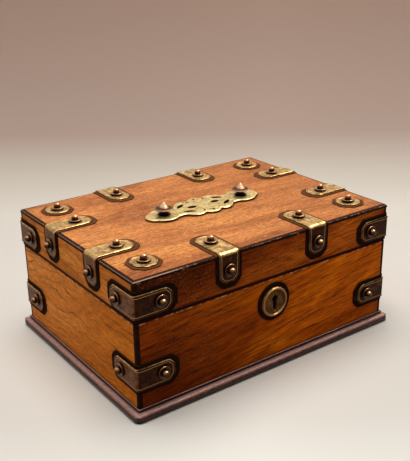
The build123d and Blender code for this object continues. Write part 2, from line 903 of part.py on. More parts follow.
hinge_end = hinge_length / 2
knuckle_end = hinge_length / 6
knuckle_rest = knuckle_end - knuckle_gap
body_leaf = hinge_leaf([(-knuckle_end, knuckle_end)], hinge_pin_radius)
save(placed(body_leaf, hinge_frames), "hinge_leaves_body")
with BuildPart() as lid_leaf:
    running_bore = hinge_pin_radius + hinge_running_clearance
    turned_leaf = hinge_leaf([(-hinge_end, -knuckle_rest), (knuckle_rest, hinge_end)], running_bore)
    mirror(turned_leaf, about=Plane.XY)
save(placed(lid_leaf.part, hinge_frames), "hinge_leaves_lid")

with BuildPart() as hinge_pin:
    with BuildSketch(Plane.YZ.offset(-hinge_length / 2)):
        Circle(hinge_pin_radius)
    extrude(amount=hinge_length)
save(placed(hinge_pin.part, hinge_frames), "hinge_pins")

# Lock plate: back plate and selvedge bent from one piece, slotted for the hooks
slot_length = link_width + 2 * link_slot_clearance
slot_width = link_thickness + 2 * link_slot_clearance
with BuildPart() as lock_plate:
    with Locations((0, front_inside_y, joint_z)):
        Box(
            lock_length,
            lock_plate_thickness,
            lock_height,
            align=(Align.CENTER, Align.MAX, Align.MAX),
        )
        Box(
            lock_length,
            selvedge_width,
            selvedge_thickness,
            align=(Align.CENTER, Align.MAX, Align.MAX),
        )
    with Locations(*[(end * link_offset, lock_y, joint_z) for end in (-1, 1)]):
        Box(
            slot_length,
            slot_width,
            selvedge_thickness,
            align=(Align.CENTER, Align.CENTER, Align.MAX),
            mode=Mode.SUBTRACT,
        )
    with Locations(*[f.location for f in selvedge_screw_frames + lock_back_screw_frames]):
        add(screw_void, mode=Mode.SUBTRACT)
save(lock_plate.part, "lock_plate")

# Lock case: rim on three sides, closed at the front by a cap with the keyhole
chamber_top = joint_z - selvedge_thickness
chamber_back = front_inside_y - lock_plate_thickness
chamber_front = chamber_back - lock_chamber
rim_foot = joint_z - lock_case_height
with BuildPart() as lock_rim:
    with Locations((0, chamber_back, chamber_top)):
        Box(
            lock_case_length,
            lock_chamber,
            chamber_top - rim_foot,
            align=(Align.CENTER, Align.MAX, Align.MAX),
        )
        Box(
            lock_case_length - 2 * lock_rim_thickness,
            lock_chamber,
            chamber_top - rim_foot - lock_rim_thickness,
            align=(Align.CENTER, Align.MAX, Align.MAX),
            mode=Mode.SUBTRACT,
        )
save(lock_rim.part, "lock_rim")

with BuildPart() as lock_cap:
    with Locations((0, chamber_front, chamber_top)):
        Box(
            lock_case_length,
            lock_cap_thickness,
            chamber_top - rim_foot,
            align=(Align.CENTER, Align.MAX, Align.MAX),
        )
    with BuildSketch(front_face):
        add(keyhole_outline())
    extrude(amount=-wall_thickness, mode=Mode.SUBTRACT)
save(lock_cap.part, "lock_cap")

# Bolt: a bar with two risers, each with a nose that goes into a hook
hook_foot = lid_rim_z - link_drop
notch_foot = hook_foot + link_jaw
nose_z = notch_foot + (link_notch - bolt_nose) / 2
bar_top = hook_foot - bolt_bar_gap
bar_foot = bar_top - bolt_bar
nose_tips = [end * link_offset - link_width / 2 - bolt_nose_gap for end in (-1, 1)]
bar_left = nose_tips[0] - bolt_nose_length - bolt_riser
bar_right = bolt_tail
pin_z = bar_foot + guide_pin_rise
guide_slot_width = 2 * (guide_pin_radius + guide_clearance)
bolt_half_thickness = lock_chamber / 2 - bolt_side_play
lock_face = Plane((0, lock_y, 0), x_dir=(1, 0, 0), z_dir=(0, -1, 0))

with BuildPart() as lock_bolt:
    with BuildSketch(lock_face):
        with Locations((bar_left, bar_foot)):
            Rectangle(bar_right - bar_left, bolt_bar, align=(Align.MIN, Align.MIN))
        for tip in nose_tips:
            with Locations((tip - bolt_nose_length, bar_top)):
                riser_top = nose_z + bolt_nose
                Rectangle(bolt_riser, riser_top - bar_top, align=(Align.MAX, Align.MIN))
            with Locations((tip, nose_z)):
                Rectangle(bolt_nose_length, bolt_nose, align=(Align.MAX, Align.MIN))
        with Locations((0, bar_foot)):
            Rectangle(
                bolt_talon,
                bolt_talon_depth,
                align=(Align.CENTER, Align.MIN),
                mode=Mode.SUBTRACT,
            )
        for end in (-1, 1):
            with Locations((end * guide_pin_offset - bolt_throw / 2, pin_z)):
                SlotCenterToCenter(
                    bolt_throw + guide_slot_play, guide_slot_width, mode=Mode.SUBTRACT
                )
    extrude(amount=bolt_half_thickness, both=True)
save(lock_bolt.part, "lock_bolt")

# Back spring, riveted to the bolt's tail, rubbing under the selvedge
spring_start = bolt_tail - bolt_spring_foot
with BuildPart() as bolt_spring:
    with BuildSketch(lock_face):
        with BuildLine():
            spring_low = bar_top + bolt_spring_thickness / 2
            spring_high = chamber_top - bolt_spring_gap
            FilletPolyline(
                (spring_start, spring_low),
                (bolt_tail, spring_low),
                (spring_start, spring_high),
                radius=bolt_spring_bend,
            )
        trace(line_width=bolt_spring_thickness)
    extrude(amount=bolt_half_thickness, both=True)
save(bolt_spring.part, "bolt_spring")

# Pins: two guides that the bolt slides on, and the drill pin for the key
with BuildPart() as lock_pins:
    chamber_plane = Plane((0, chamber_back, 0), x_dir=(1, 0, 0), z_dir=(0, -1, 0))
    with BuildSketch(chamber_plane):
        with Locations(*[(end * guide_pin_offset, pin_z) for end in (-1, 1)]):
            RegularPolygon(guide_pin_radius, lock_pin_sides)
    extrude(amount=lock_chamber)
    with BuildSketch(chamber_plane):
        with Locations((0, key_z + keyhole_rise)):
            RegularPolygon(drill_pin_radius, lock_pin_sides)
    extrude(amount=chamber_back + half_width - drill_pin_inset)
save(lock_pins.part, "lock_pins")

# Link plate under the lid's front rim, with its two hooks
with BuildPart() as link_plate:
    with Locations((0, front_inside_y, lid_rim_z)):
        Box(
            lock_length,
            selvedge_width,
            selvedge_thickness,
            align=(Align.CENTER, Align.MAX, Align.MIN),
        )
    with BuildSketch(lock_face):
        for end in (-1, 1):
            hook_left = end * link_offset - link_width / 2
            with Locations((hook_left, hook_foot)):
                Rectangle(link_width, link_drop, align=(Align.MIN, Align.MIN))
            with Locations((hook_left, notch_foot)):
                Rectangle(
                    link_notch_depth, link_notch, align=(Align.MIN, Align.MIN), mode=Mode.SUBTRACT
                )
    extrude(amount=link_thickness / 2, both=True)
    with Locations(*[f.location for f in link_screw_frames]):
        add(screw_void, mode=Mode.SUBTRACT)
save(link_plate.part, "link_plate")


# Lining panel in a side frame, standing just off the wall. The end panels fit between the long ones
def lining(side, foot, head):
    length, frame = sides[side]
    end_inset = wall_thickness + soft_clearance
    if side in ("left", "right"):
        end_inset += lining_thickness + soft_clearance
    with BuildPart() as panel:
        with Locations((0, wall_thickness + soft_clearance, foot)):
            Box(
                length - 2 * end_inset,
                lining_thickness,
                head - foot,
                align=(Align.CENTER, Align.MIN, Align.MIN),
            )
    return placed(panel.part, [frame])


lining_foot = floor_z + soft_clearance
lining_head = joint_z - lining_rim_drop
for side in ("back", "left", "right"):
    save(lining(side, lining_foot, lining_head), f"lining_{side}")

with BuildPart() as lining_front:
    add(lining("front", lining_foot, lining_head))
    with Locations((0, front_inside_y, joint_z)):
        Box(
            lock_length + 2 * lining_lock_margin,
            wall_thickness,
            lock_height + lining_lock_margin,
            align=(Align.CENTER, Align.MIN, Align.MAX),
            mode=Mode.SUBTRACT,
        )
save(lining_front.part, "lining_front")

lid_lining_foot = lid_rim_z + lining_rim_drop
lid_lining_head = panel_foot_z - soft_clearance
with BuildPart() as lid_linings:
    for side in sides:
        add(lining(side, lid_lining_foot, lid_lining_head))
save(lid_linings.part, "lid_linings")


# Pad with a crowned face and rounded corners, face up
def pad(length, width, thickness, crown):
    with BuildPart() as cushion:
        with BuildSketch(Plane.XZ):
            with BuildLine():
                Line((-length / 2, 0), (length / 2, 0))
                Line((length / 2, 0), (length / 2, thickness - crown))
                ThreePointArc(
                    (length / 2, thickness - crown), (0, thickness), (-length / 2, thickness - crown)
                )
                Line((-length / 2, thickness - crown), (-length / 2, 0))
            make_face()
        extrude(amount=width / 2, both=True)
        with BuildSketch(Plane.YZ):
            with BuildLine():
                Line((-width / 2, 0), (width / 2, 0))
                Line((width / 2, 0), (width / 2, thickness - crown))
                ThreePointArc(
                    (width / 2, thickness - crown), (0, thickness), (-width / 2, thickness - crown)
                )
                Line((-width / 2, thickness - crown), (-width / 2, 0))
            make_face()
        extrude(amount=length / 2, both=True, mode=Mode.INTERSECT)
        fillet(cushion.edges().filter_by(Axis.Z), pad_corner_round)
    return cushion.part


pad_inset = 2 * (wall_thickness + lining_thickness + 2 * soft_clearance)
pad_length = case_length - pad_inset
pad_width = case_width - pad_inset
floor_frame = Plane((0, 0, floor_z + soft_clearance))
floor_cushion = pad(pad_length, pad_width, floor_pad_thickness, floor_pad_crown)
save(placed(floor_cushion, [floor_frame]), "floor_pad")
lid_frame = Plane((0, 0, panel_foot_z - soft_clearance), x_dir=(1, 0, 0), z_dir=(0, 0, -1))
lid_cushion = pad(pad_length, pad_width, lid_pad_thickness, lid_pad_crown)
save(placed(lid_cushion, [lid_frame]), "lid_pad")
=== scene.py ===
import bmesh
import bpy
from math import atan2, cos, pi, radians, sin
from mathutils import Matrix, Vector


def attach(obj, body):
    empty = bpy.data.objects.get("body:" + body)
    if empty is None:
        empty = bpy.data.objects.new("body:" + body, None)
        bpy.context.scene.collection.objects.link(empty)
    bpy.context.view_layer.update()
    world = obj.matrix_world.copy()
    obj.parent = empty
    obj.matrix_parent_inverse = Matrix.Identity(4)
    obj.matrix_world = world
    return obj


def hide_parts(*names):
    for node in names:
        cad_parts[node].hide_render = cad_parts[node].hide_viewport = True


# A wooden coffret bound with brass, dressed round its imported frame. Metres, with X along the front,
# Y from front to back and Z up from the surface that it stands on.
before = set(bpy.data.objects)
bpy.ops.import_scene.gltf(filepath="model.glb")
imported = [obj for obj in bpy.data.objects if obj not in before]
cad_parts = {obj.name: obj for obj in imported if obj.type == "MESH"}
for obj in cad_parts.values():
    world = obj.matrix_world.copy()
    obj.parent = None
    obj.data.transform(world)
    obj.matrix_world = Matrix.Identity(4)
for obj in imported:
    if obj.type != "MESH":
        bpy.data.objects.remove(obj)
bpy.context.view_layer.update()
mm = 0.001


# The camera stands in front of the left front corner, a little above the lid, as a seated person
# would look at the box. Its long lens keeps the upright edges nearly parallel.
eye = Vector((-0.42006, -0.58450, 0.38677))
aim = Vector((0.0014, 0.0, 0.1009))
roll = radians(0.92)
lens_length = 61.1
forward = (aim - eye).normalized()
right = forward.cross(Vector((0, 0, 1))).normalized()
down = forward.cross(right)
image_x = cos(roll) * right + sin(roll) * down
image_y = -sin(roll) * right + cos(roll) * down
camera_data = bpy.data.cameras.new("camera")
camera_data.lens = lens_length
camera_data.sensor_width = 36.0
camera = bpy.data.objects.new("camera", camera_data)
turn = Matrix((image_x, -image_y, -forward)).transposed()
camera.matrix_world = Matrix.Translation(eye) @ turn.to_4x4()
bpy.context.scene.collection.objects.link(camera)
bpy.context.scene.camera = camera
bpy.context.scene.view_settings.view_transform = "Standard"


# A pale studio sweep: a floor whose colour is painted darker towards the back and towards its left, as
# painted shade where the light falls off, and a backdrop of the same tone that only the camera sees.
# The light is soft and comes from above and a little behind, with a weak fill from the left.
# Reflections see a softbox, a small window and a room of their own.
def feed(tree, made, sockets):
    """Gives a node's sockets their values, or the outputs that feed them."""
    for key, value in sockets.items():
        if isinstance(value, bpy.types.NodeSocket):
            tree.links.new(value, made.inputs[key])
        else:
            made.inputs[key].default_value = value


def node(tree, kind, sockets=None, **settings):
    """One node with its settings and what feeds its sockets."""
    made = tree.nodes.new(kind)
    for key, value in settings.items():
        setattr(made, key, value)
    feed(tree, made, sockets or {})
    return made


def sums(tree, operation, a, b=0.0, c=0.0):
    """One step of arithmetic."""
    return node(tree, "ShaderNodeMath", {0: a, 1: b, 2: c}, operation=operation).outputs[0]


def span(tree, value, low, high, start=0.0, end=1.0):
    """A value that runs from start at low to end at high, and stays there."""
    sockets = {0: value, 1: low, 2: high, 3: start, 4: end}
    return node(tree, "ShaderNodeMapRange", sockets, interpolation_type="SMOOTHSTEP").outputs[0]


def ramp(tree, value, *stops):
    """Colours or greys along a value from 0 to 1."""
    made = node(tree, "ShaderNodeValToRGB", {0: value})
    marks = made.color_ramp.elements
    while len(marks) < len(stops):
        marks.new(0.5)
    for mark, (place, colour) in zip(marks, stops):
        mark.position = place
        mark.color = colour if isinstance(colour, tuple) else (colour, colour, colour, 1)
    return made.outputs[0]


def mixed(tree, share, a, b, blend="MIX"):
    """Two colours laid over each other."""
    sockets = {0: share, 6: a, 7: b}
    made = node(tree, "ShaderNodeMix", sockets, data_type="RGBA", blend_type=blend)
    return made.outputs[2]


def vectors(tree, operation, a, b=(0, 0, 0)):
    """One step of arithmetic on vectors. A dot product or a length comes out as a plain value."""
    made = node(tree, "ShaderNodeVectorMath", {0: a, 1: b}, operation=operation)
    return made.outputs["Value" if operation in ("DOT_PRODUCT", "LENGTH") else "Vector"]


def place_on(tree):
    """Places on the object by its own axes, in metres."""
    return node(tree, "ShaderNodeTexCoord").outputs["Object"]


def embossed(tree, shader, height, strength, depth):
    """Gives a surface a small relief."""
    bump = node(tree, "ShaderNodeBump", {"Height": height, "Strength": strength, "Distance": depth})
    feed(tree, shader, {"Normal": bump.outputs[0]})


def tone(red, green, blue):
    """A colour as it looks on a screen, from 0 to 255, as the plain numbers that light adds up in."""
    shares = [value / 255 for value in (red, green, blue)]
    return (*[s / 12.92 if s < 0.04045 else ((s + 0.055) / 1.055) ** 2.4 for s in shares], 1.0)


def surface(name):
    """An empty material with its shader."""
    made = bpy.data.materials.new(name)
    made.use_nodes = True
    return made, made.node_tree, made.node_tree.nodes["Principled BSDF"]


# the floor's tones, from far away to sweep_near metres in front of the camera: painted shade that
# darkens the floor with distance
sweep_near = 0.494
sweep_least = 0.3
sweep_painted_shade = (
    (0.0, tone(140, 114, 101)),
    (0.117, tone(151, 127, 114)),
    (0.33, tone(175, 153, 141)),
    (0.4, tone(207, 196, 183)),
    (0.47, tone(231, 223, 212)),
    (0.58, tone(237, 230, 220)),
    (0.8, tone(229, 223, 214)),
    (0.9, tone(231, 225, 216)),
    (1.0, tone(240, 236, 228)),
)
floor_paint, tree, shader = surface("studio_sweep")
place = place_on(tree)
facing = Vector((forward.x, forward.y, 0)).normalized()
up = Vector((0, 0, 1))
away = vectors(tree, "DOT_PRODUCT", place, facing)
away = sums(tree, "MAXIMUM", sums(tree, "ADD", away, -facing.dot(eye)), sweep_least)
closeness = sums(tree, "DIVIDE", sweep_near, away)
paper = node(tree, "ShaderNodeTexNoise", {"Vector": place, "Scale": 900.0, "Detail": 3.0}).outputs["Fac"]
across_floor = vectors(tree, "DOT_PRODUCT", place, facing.cross(up))
sideways = sums(tree, "MULTIPLY", across_floor, closeness)
fleck = ramp(tree, paper, (0.3, 0.985), (0.7, 1.0))
shade = mixed(tree, 1.0, ramp(tree, closeness, *sweep_painted_shade), fleck, "MULTIPLY")
# painted shade: the floor is darker towards its left, and a little towards its right
floor_side_painted_shade = ramp(tree, span(tree, sideways, -0.16, 0.16), (0.0, 0.87), (0.7, 0.99), (1.0, 0.93))
shade = mixed(tree, 1.0, shade, floor_side_painted_shade, "MULTIPLY")
feed(tree, shader, {"Base Color": shade, "Roughness": 0.9, "Specular IOR Level": 0.1})
embossed(tree, shader, paper, 0.05, 0.0002)
floor_mesh = bpy.data.meshes.new("floor")
floor_reach = 9.0
floor_corners = [(x * floor_reach, y * floor_reach, 0) for x, y in ((-1, -1), (1, -1), (1, 1), (-1, 1))]
floor_mesh.from_pydata(floor_corners, [], [(0, 1, 2, 3)])
floor_mesh.materials.append(floor_paint)
floor = bpy.data.objects.new("floor", floor_mesh)
bpy.context.scene.collection.objects.link(floor)

# strengths of the light, and the edges of softbox and window as cosines from their middles
fill_low = 0.06
fill_left = 0.42
box_light = 0.7
box_rim = (0.66, 0.8)
window_light = 14.0
window_rim = (0.955, 0.975)
room_back = 0.62
room_low = 0.34
world = bpy.data.worlds.new("studio")
bpy.context.scene.world = world
world.use_nodes = True
tree = world.node_tree
ray = node(tree, "ShaderNodeLightPath")
aimed = node(tree, "ShaderNodeTexCoord").outputs["Generated"]
softbox = Vector((0.1, 0.15, 1.0)).normalized()
back_wall = Vector((0.45, 0.85, 0.3)).normalized()
lit = vectors(tree, "DOT_PRODUCT", aimed, softbox)
behind = vectors(tree, "DOT_PRODUCT", aimed, back_wall)
mirrored = span(tree, behind, -0.4, 0.8, room_low, room_back)
mirrored = sums(tree, "ADD", mirrored, span(tree, lit, *box_rim, 0.0, box_light))
window = Vector((0.52, -0.05, 0.85)).normalized()
through = vectors(tree, "DOT_PRODUCT", aimed, window)
mirrored = sums(tree, "ADD", mirrored, span(tree, through, *window_rim, 0.0, window_light))
left_wall = Vector((-1.0, 0.15, 0.35)).normalized()
leftward = vectors(tree, "DOT_PRODUCT", aimed, left_wall)
fill = span(tree, leftward, 0.1, 0.9, fill_low, fill_left)
shown = sums(tree, "MAXIMUM", ray.outputs["Is Camera Ray"], ray.outputs["Is Transmission Ray"])
glossy = ray.outputs["Is Glossy Ray"]
strength = node(tree, "ShaderNodeMix", {0: glossy, 2: fill, 3: mirrored}).outputs[0]
strength = node(tree, "ShaderNodeMix", {0: shown, 2: strength, 3: 1.0}).outputs[0]
lamp_tint = mixed(tree, glossy, tone(255, 252, 248), tone(255, 238, 220))
seen = mixed(tree, shown, lamp_tint, tone(152, 128, 115))
feed(tree, tree.nodes["Background"], {"Color": seen, "Strength": strength})

key_data = bpy.data.lights.new("softbox", "SUN")
key_data.energy = 2.8
key_data.angle = radians(50)
key_data.color = tone(255, 253, 250)[:3]
key = bpy.data.objects.new("softbox", key_data)
key.rotation_mode = "QUATERNION"
key.rotation_quaternion = Vector((-0.03, -0.10, -0.98)).to_track_quat("-Z", "Y")
# brass would mirror this lamp as a blank white disc
key.visible_glossy = False
bpy.context.scene.collection.objects.link(key)


# The walls of the body and of the lid, mitred boards of figured oak with the grain along each side.
# Old wax has darkened the pores, and the arrises are a little worn. Painted shade darkens crevices and a
# band along the joint under the lid, and a pale painted highlight runs along the body's rim below it.
def rotated(tree, vector, angle, axis):
    """A vector turned about one axis."""
    sockets = {0: vector, "Angle": angle}
    return node(tree, "ShaderNodeVectorRotate", sockets, rotation_type=axis).outputs[0]


def along(tree, heading, squeeze, tilt):
    """Places on a piece with X along the grain, Y and Z across it, and X drawn out by squeeze."""
    leant = rotated(tree, rotated(tree, place_on(tree), -heading, "Z_AXIS"), tilt, "Y_AXIS")
    return vectors(tree, "MULTIPLY", leant, (squeeze, 1, 1))


def cloud(tree, place, scale, detail=3.0, roughness=0.5, distortion=0.0):
    """A soft random value, with so many lumps to the metre."""
    lumps = {"Scale": scale, "Detail": detail, "Roughness": roughness, "Distortion": distortion}
    return node(tree, "ShaderNodeTexNoise", {"Vector": place, **lumps}).outputs["Fac"]


def parts(tree, vector):
    """The three parts of a vector."""
    return node(tree, "ShaderNodeSeparateXYZ", {0: vector}).outputs


def openness(tree, distance):
    """A value that is 1 in the open and falls in crevices."""
    return node(tree, "ShaderNodeAmbientOcclusion", {"Distance": distance}, samples=6).outputs["AO"]


# the joint between body and lid, and the arris of the body's rim below it
joint_height = 89.65 * mm
arris_height = joint_height - 1.9 * mm


def scratched(tree, angle, length, width, least):
    """Thin straight scratches that lie about one way, as a mask. Length and width are in metres, and
    the nearer least is to 1, the fewer there are."""
    turned = rotated(tree, place_on(tree), angle, "Z_AXIS")
    drawn = vectors(tree, "MULTIPLY", turned, (1 / length, 1 / width, 1 / width))
    lines = cloud(tree, drawn, 1.0, 1.0, 0.4, 0.15)
    return span(tree, lines, least, least + 0.05)


def oak(
    name, heading, tones, figure, grain, tilt, wave, rub,
    across="Z", stroke=0.08, bite=1.0, fade=None, level=0.02, swirl=1.0,
):
    """Waxed oak: clouds of tone, growth lines, long dark pores, ray flecks and a few scratches. Figure,
    grain, rub and bite are the shares of growth lines, pores, scratches and strokes. Stroke is how
    short the strokes are, wave how close the growth lines, and swirl how much they bend."""
    made, tree, shader = surface(name)
    pale, middle, dark = tones
    clouds = cloud(tree, along(tree, heading, 0.3, tilt), 16.0, 5.0, 0.68, 0.5 * swirl)
    fine = cloud(tree, along(tree, heading, stroke, tilt), 480.0, 4.0, 0.75)
    colour = ramp(tree, clouds, (0.32, dark), (0.5, middle), (0.66, pale))
    strokes = ramp(tree, fine, (0.37, 0.5), (0.5, 0.95), (0.63, 1.3))
    colour = mixed(tree, bite, colour, strokes, "MULTIPLY")
    sockets = {"Vector": along(tree, heading, 0.5, tilt), "Scale": 17.0, "Detail": 3.0}
    wander = node(tree, "ShaderNodeTexNoise", sockets).outputs["Color"]
    drift = vectors(tree, "SUBTRACT", wander, (0.5, 0.5, 0.5))
    sway = vectors(tree, "MULTIPLY", drift, (0.06, 0.06, 0.06))
    sockets = {
        "Vector": vectors(tree, "ADD", along(tree, heading, 0.2, tilt), sway),
        "Scale": wave,
        "Distortion": 1.4 * swirl,
        "Detail": 3.0,
        "Detail Scale": 2.0,
    }
    form = {"wave_type": "BANDS", "bands_direction": across, "wave_profile": "SAW"}
    rings = node(tree, "ShaderNodeTexWave", sockets, **form).outputs["Fac"]
    late = ramp(tree, rings, (0.0, 0.35), (0.04, 0.0), (0.88, 0.0), (0.98, 1.0))
    broken = span(tree, cloud(tree, along(tree, heading, 0.4, tilt), 60.0, 3.0), 0.38, 0.6, 0.15, figure)
    pitch = mixed(tree, 0.65, dark, tone(24, 9, 2))
    colour = mixed(tree, sums(tree, "MULTIPLY", late, broken), colour, pitch)
    streaks = cloud(tree, along(tree, heading, 0.055, tilt), 620.0, 3.0, 0.65)
    pits = span(tree, streaks, 0.53, 0.66, 0.0, grain)
    clustered = span(tree, cloud(tree, along(tree, heading, 0.3, tilt), 45.0, 2.0), 0.36, 0.6, 0.35, 1.0)
    pits = sums(tree, "MULTIPLY", pits, clustered)
    colour = mixed(tree, pits, colour, pitch)
    rays = cloud(tree, along(tree, heading, 0.35, tilt), 380.0, 2.0, 0.5, 0.8)
    colour = mixed(tree, span(tree, rays, 0.6, 0.74, 0.0, 0.35), colour, pale)
    # a fade darkens the oak along one axis; on the front and the sides it is painted shade
    if fade:
        axis, low, high, shade = fade
        share = span(tree, parts(tree, place_on(tree))[axis], low, high)
        colour = mixed(tree, share, mixed(tree, 1.0, colour, shade, "MULTIPLY"), colour)
    marks = scratched(tree, 0.5, 0.02, 0.0006, 0.71)
    for scratch in ((1.5, 0.013, 0.0005, 0.72), (-0.7, 0.028, 0.0005, 0.73), (2.4, 0.009, 0.0008, 0.74)):
        marks = sums(tree, "MAXIMUM", marks, scratched(tree, *scratch))
    place = place_on(tree)
    specks = span(tree, cloud(tree, place, 480.0, 2.0, 0.6), 0.775, 0.82)
    marks = sums(tree, "MAXIMUM", marks, sums(tree, "MULTIPLY", specks, 0.5))
    scars = sums(tree, "MULTIPLY", marks, span(tree, cloud(tree, place, 16.0, 2.0), 0.42, 0.6, 0.0, rub))
    colour = mixed(tree, scars, colour, mixed(tree, 0.6, pale, tone(250, 210, 150)))
    # painted shade with some dirt: the oak is darkened in crevices that ambient occlusion finds, round the
    # mounts, and a painted shadow band lies along the joint under the lid
    crevice = openness(tree, 0.006)
    uneven = sums(tree, "ADD", crevice, sums(tree, "MULTIPLY_ADD", fine, 0.3, -0.15))
    shade_and_dirt = span(tree, uneven, 0.6, 0.98, 0.8, 0.0)
    height = parts(tree, place)[2]
    off_joint = sums(tree, "ABSOLUTE", sums(tree, "SUBTRACT", height, joint_height))
    shade_and_dirt = sums(tree, "MAXIMUM", shade_and_dirt, span(tree, off_joint, 0.0011, 0.0028, 0.95, 0.0))
    colour = mixed(tree, shade_and_dirt, colour, mixed(tree, 0.85, dark, tone(18, 7, 2)))
    # a painted highlight along the arris of the body's rim below the joint, broken into dashes
    off_arris = sums(tree, "ABSOLUTE", sums(tree, "SUBTRACT", height, arris_height))
    arris = span(tree, off_arris, 0.0003, 0.0007, 0.7, 0.0)
    arris = sums(tree, "MULTIPLY", arris, span(tree, cloud(tree, place, 150.0, 4.0, 0.7), 0.45, 0.62))
    colour = mixed(tree, arris, colour, mixed(tree, 0.6, pale, tone(225, 180, 140)))
    dullness = sums(tree, "MULTIPLY_ADD", fine, 0.18, 0.38)
    dullness = sums(tree, "ADD", dullness, sums(tree, "MULTIPLY", pits, 0.15))
    feed(tree, shader, {"Base Color": colour, "Roughness": dullness, "Specular IOR Level": level})
    depth = sums(tree, "MULTIPLY_ADD", pits, -0.7, sums(tree, "MULTIPLY", fine, 0.35))
    depth = sums(tree, "MULTIPLY_ADD", scars, -0.4, depth)
    embossed(tree, shader, depth, 0.35, 0.0004)
    return made


def merged(name):
    """A copy of a solid's mesh with its corners joined and its flat faces whole."""
    work = bmesh.new()
    work.from_mesh(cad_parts[name].data)
    bmesh.ops.remove_doubles(work, verts=work.verts, dist=1e-6)
    bmesh.ops.dissolve_limit(work, angle_limit=radians(0.5), verts=work.verts, edges=work.edges)
    return work


def piece(name, work, paint, slot, body, *stands_for):
    """A finished piece of the box: its mesh, finish, body and the solids that it stands for. Its slot is
    not used.
    """
    mesh = bpy.data.meshes.new(name)
    work.to_mesh(mesh)
    work.free()
    mesh.shade_smooth()
    mesh.set_sharp_from_angle(angle=radians(32))
    mesh.materials.append(paint)
    made = bpy.data.objects.new(name, mesh)
    bpy.context.scene.collection.objects.link(made)
    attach(made, body)
    if stands_for:
        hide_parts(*stands_for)
    weights = made.modifiers.new("weights", "WEIGHTED_NORMAL")
    weights.keep_sharp = True
    return made


def rounded(work, edges, width, segments):
    """Rounds some edges of a mesh."""
    bmesh.ops.bevel(
        work, geom=edges, offset=width, segments=segments, profile=0.5, affect="EDGES", clamp_overlap=True
    )


def eased(work, width):
    """Takes the sharpness off every edge that turns by more than 25 degrees."""
    turn = radians(25)
    edges = [e for e in work.edges if e.is_manifold and abs(e.calc_face_angle_signed(0)) > turn]
    rounded(work, edges + list({v for e in edges for v in e.verts}), width, 2)


def dressed(name, paint, slot, body, width=0.0):
    """A solid's own shape, with eased edges, as a piece of the finished box."""
    work = merged(name)
    if width:
        eased(work, width)
    return piece(f"{name}_dressed", work, paint, slot, body, name)


# the sides and the top have paler, less saturated tones than the front: partly boards of another tone,
# partly a painted sheen where those faces catch more light
front_tones = tone(222, 116, 2), tone(184, 84, 0), tone(130, 50, 0)
lid_front_tones = tone(184, 90, 14), tone(146, 62, 4), tone(88, 30, 0)
left_tones = tone(234, 150, 72), tone(208, 123, 46), tone(172, 92, 24)
lid_left_tones = tone(214, 132, 52), tone(184, 104, 32), tone(142, 72, 14)
# the axis of a fade, where it begins and ends, and the tone that it begins with. The fades of the
# front and the sides are painted shade: the front is darker towards its left end, and the sides are
# darker and more golden towards the front, where less light falls
side_painted_shade = (1, -0.1, 0.1, tone(228, 210, 128))
front_painted_shade = (0, -0.14, 0.1, tone(168, 152, 140))
front_oak = oak(
    "oak_front", 0.0, front_tones, figure=0.35, grain=0.9, tilt=radians(7.5), wave=30.0, rub=0.3,
    stroke=0.06, fade=front_painted_shade,
)
lid_front_oak = oak(
    "oak_lid_front", 0.0, lid_front_tones, figure=0.4, grain=0.75, tilt=radians(4), wave=34.0, rub=0.45,
    stroke=0.12, fade=front_painted_shade,
)
side_oak = oak(
    "oak_sides", pi / 2, left_tones, figure=1.0, grain=0.3, tilt=radians(-4), wave=42.0, rub=0.4,
    stroke=0.3, bite=0.6, fade=side_painted_shade, swirl=2.2,
)
lid_side_oak = oak(
    "oak_lid_sides", pi / 2, lid_left_tones, figure=0.8, grain=0.4, tilt=radians(-3), wave=36.0, rub=0.3,
    stroke=0.24, bite=0.6, swirl=1.6,
)
sides = ("front", "back", "left", "right")
for side in sides:
    paints = (front_oak, lid_front_oak) if side in ("front", "back") else (side_oak, lid_side_oak)
    dressed(f"wall_{side}", paints[0], "body_wood", "case", 0.35 * mm)
    dressed(f"lid_{side}", paints[1], "lid_wood", "lid", 0.35 * mm)
dressed("bottom_board", front_oak, "body_wood", "case", 0.3 * mm)


# The field of the lid, one oak board let in over the rim of the lid's walls. Its top is paler, partly
# a painted sheen, rubbed and lightly scratched, with the grain along the front, and it is darker
# towards its right end.
top_tones = tone(236, 156, 88), tone(208, 129, 72), tone(142, 77, 42)
top_fade = (0, 0.15, -0.05, tone(235, 232, 235))
top_oak = oak(
    "oak_top", 0.0, top_tones, figure=0.4, grain=0.55, tilt=0.0, wave=30.0, rub=1.8,
    across="Y", stroke=0.5, bite=0.8, fade=top_fade, level=0.12, swirl=1.8,
)


def shaded_under_plate(paint, centre, reaches):
    """Darkens a wood within an ellipsoid under a plate: painted shade where piercings and keyholes look
    into shadow, with dirt and old wax.
    """
    tree = paint.node_tree
    core = vectors(tree, "DIVIDE", vectors(tree, "SUBTRACT", place_on(tree), centre), reaches)
    reach = vectors(tree, "LENGTH", core)
    shader = tree.nodes["Principled BSDF"]
    bare = shader.inputs["Base Color"].links[0].from_socket
    painted_shade_under = mixed(tree, span(tree, reach, 0.94, 0.98, 1.0, 0.0), bare, tone(28, 13, 6))
    feed(tree, shader, {"Base Color": painted_shade_under})


# painted shade under the handle plate, seen through its piercings
shaded_under_plate(top_oak, (0.0, 0.0, 0.125), (0.036, 0.0165, 0.05))
dressed("lid_panel", top_oak, "lid_wood", "lid")


# Edging and corner strips of pearwood stained black and waxed. Handling has rubbed the stain through
# to brown here and there along the arrises. Their upward faces are painted a little paler, as light
# from above, and a pale painted highlight runs along the rounded arrises of the edging, strongest at the
# left end.
def own_facing(tree):
    """The three parts of a surface's facing, by the object's own axes."""
    normal = node(tree, "ShaderNodeNewGeometry").outputs["Normal"]
    axes = {"vector_type": "NORMAL", "convert_from": "WORLD", "convert_to": "OBJECT"}
    return parts(tree, node(tree, "ShaderNodeVectorTransform", {0: normal}, **axes).outputs[0])


# where the stronger painted highlight at the left end of the edging fades out
highlight_left_end = (-132 * mm, -75 * mm)


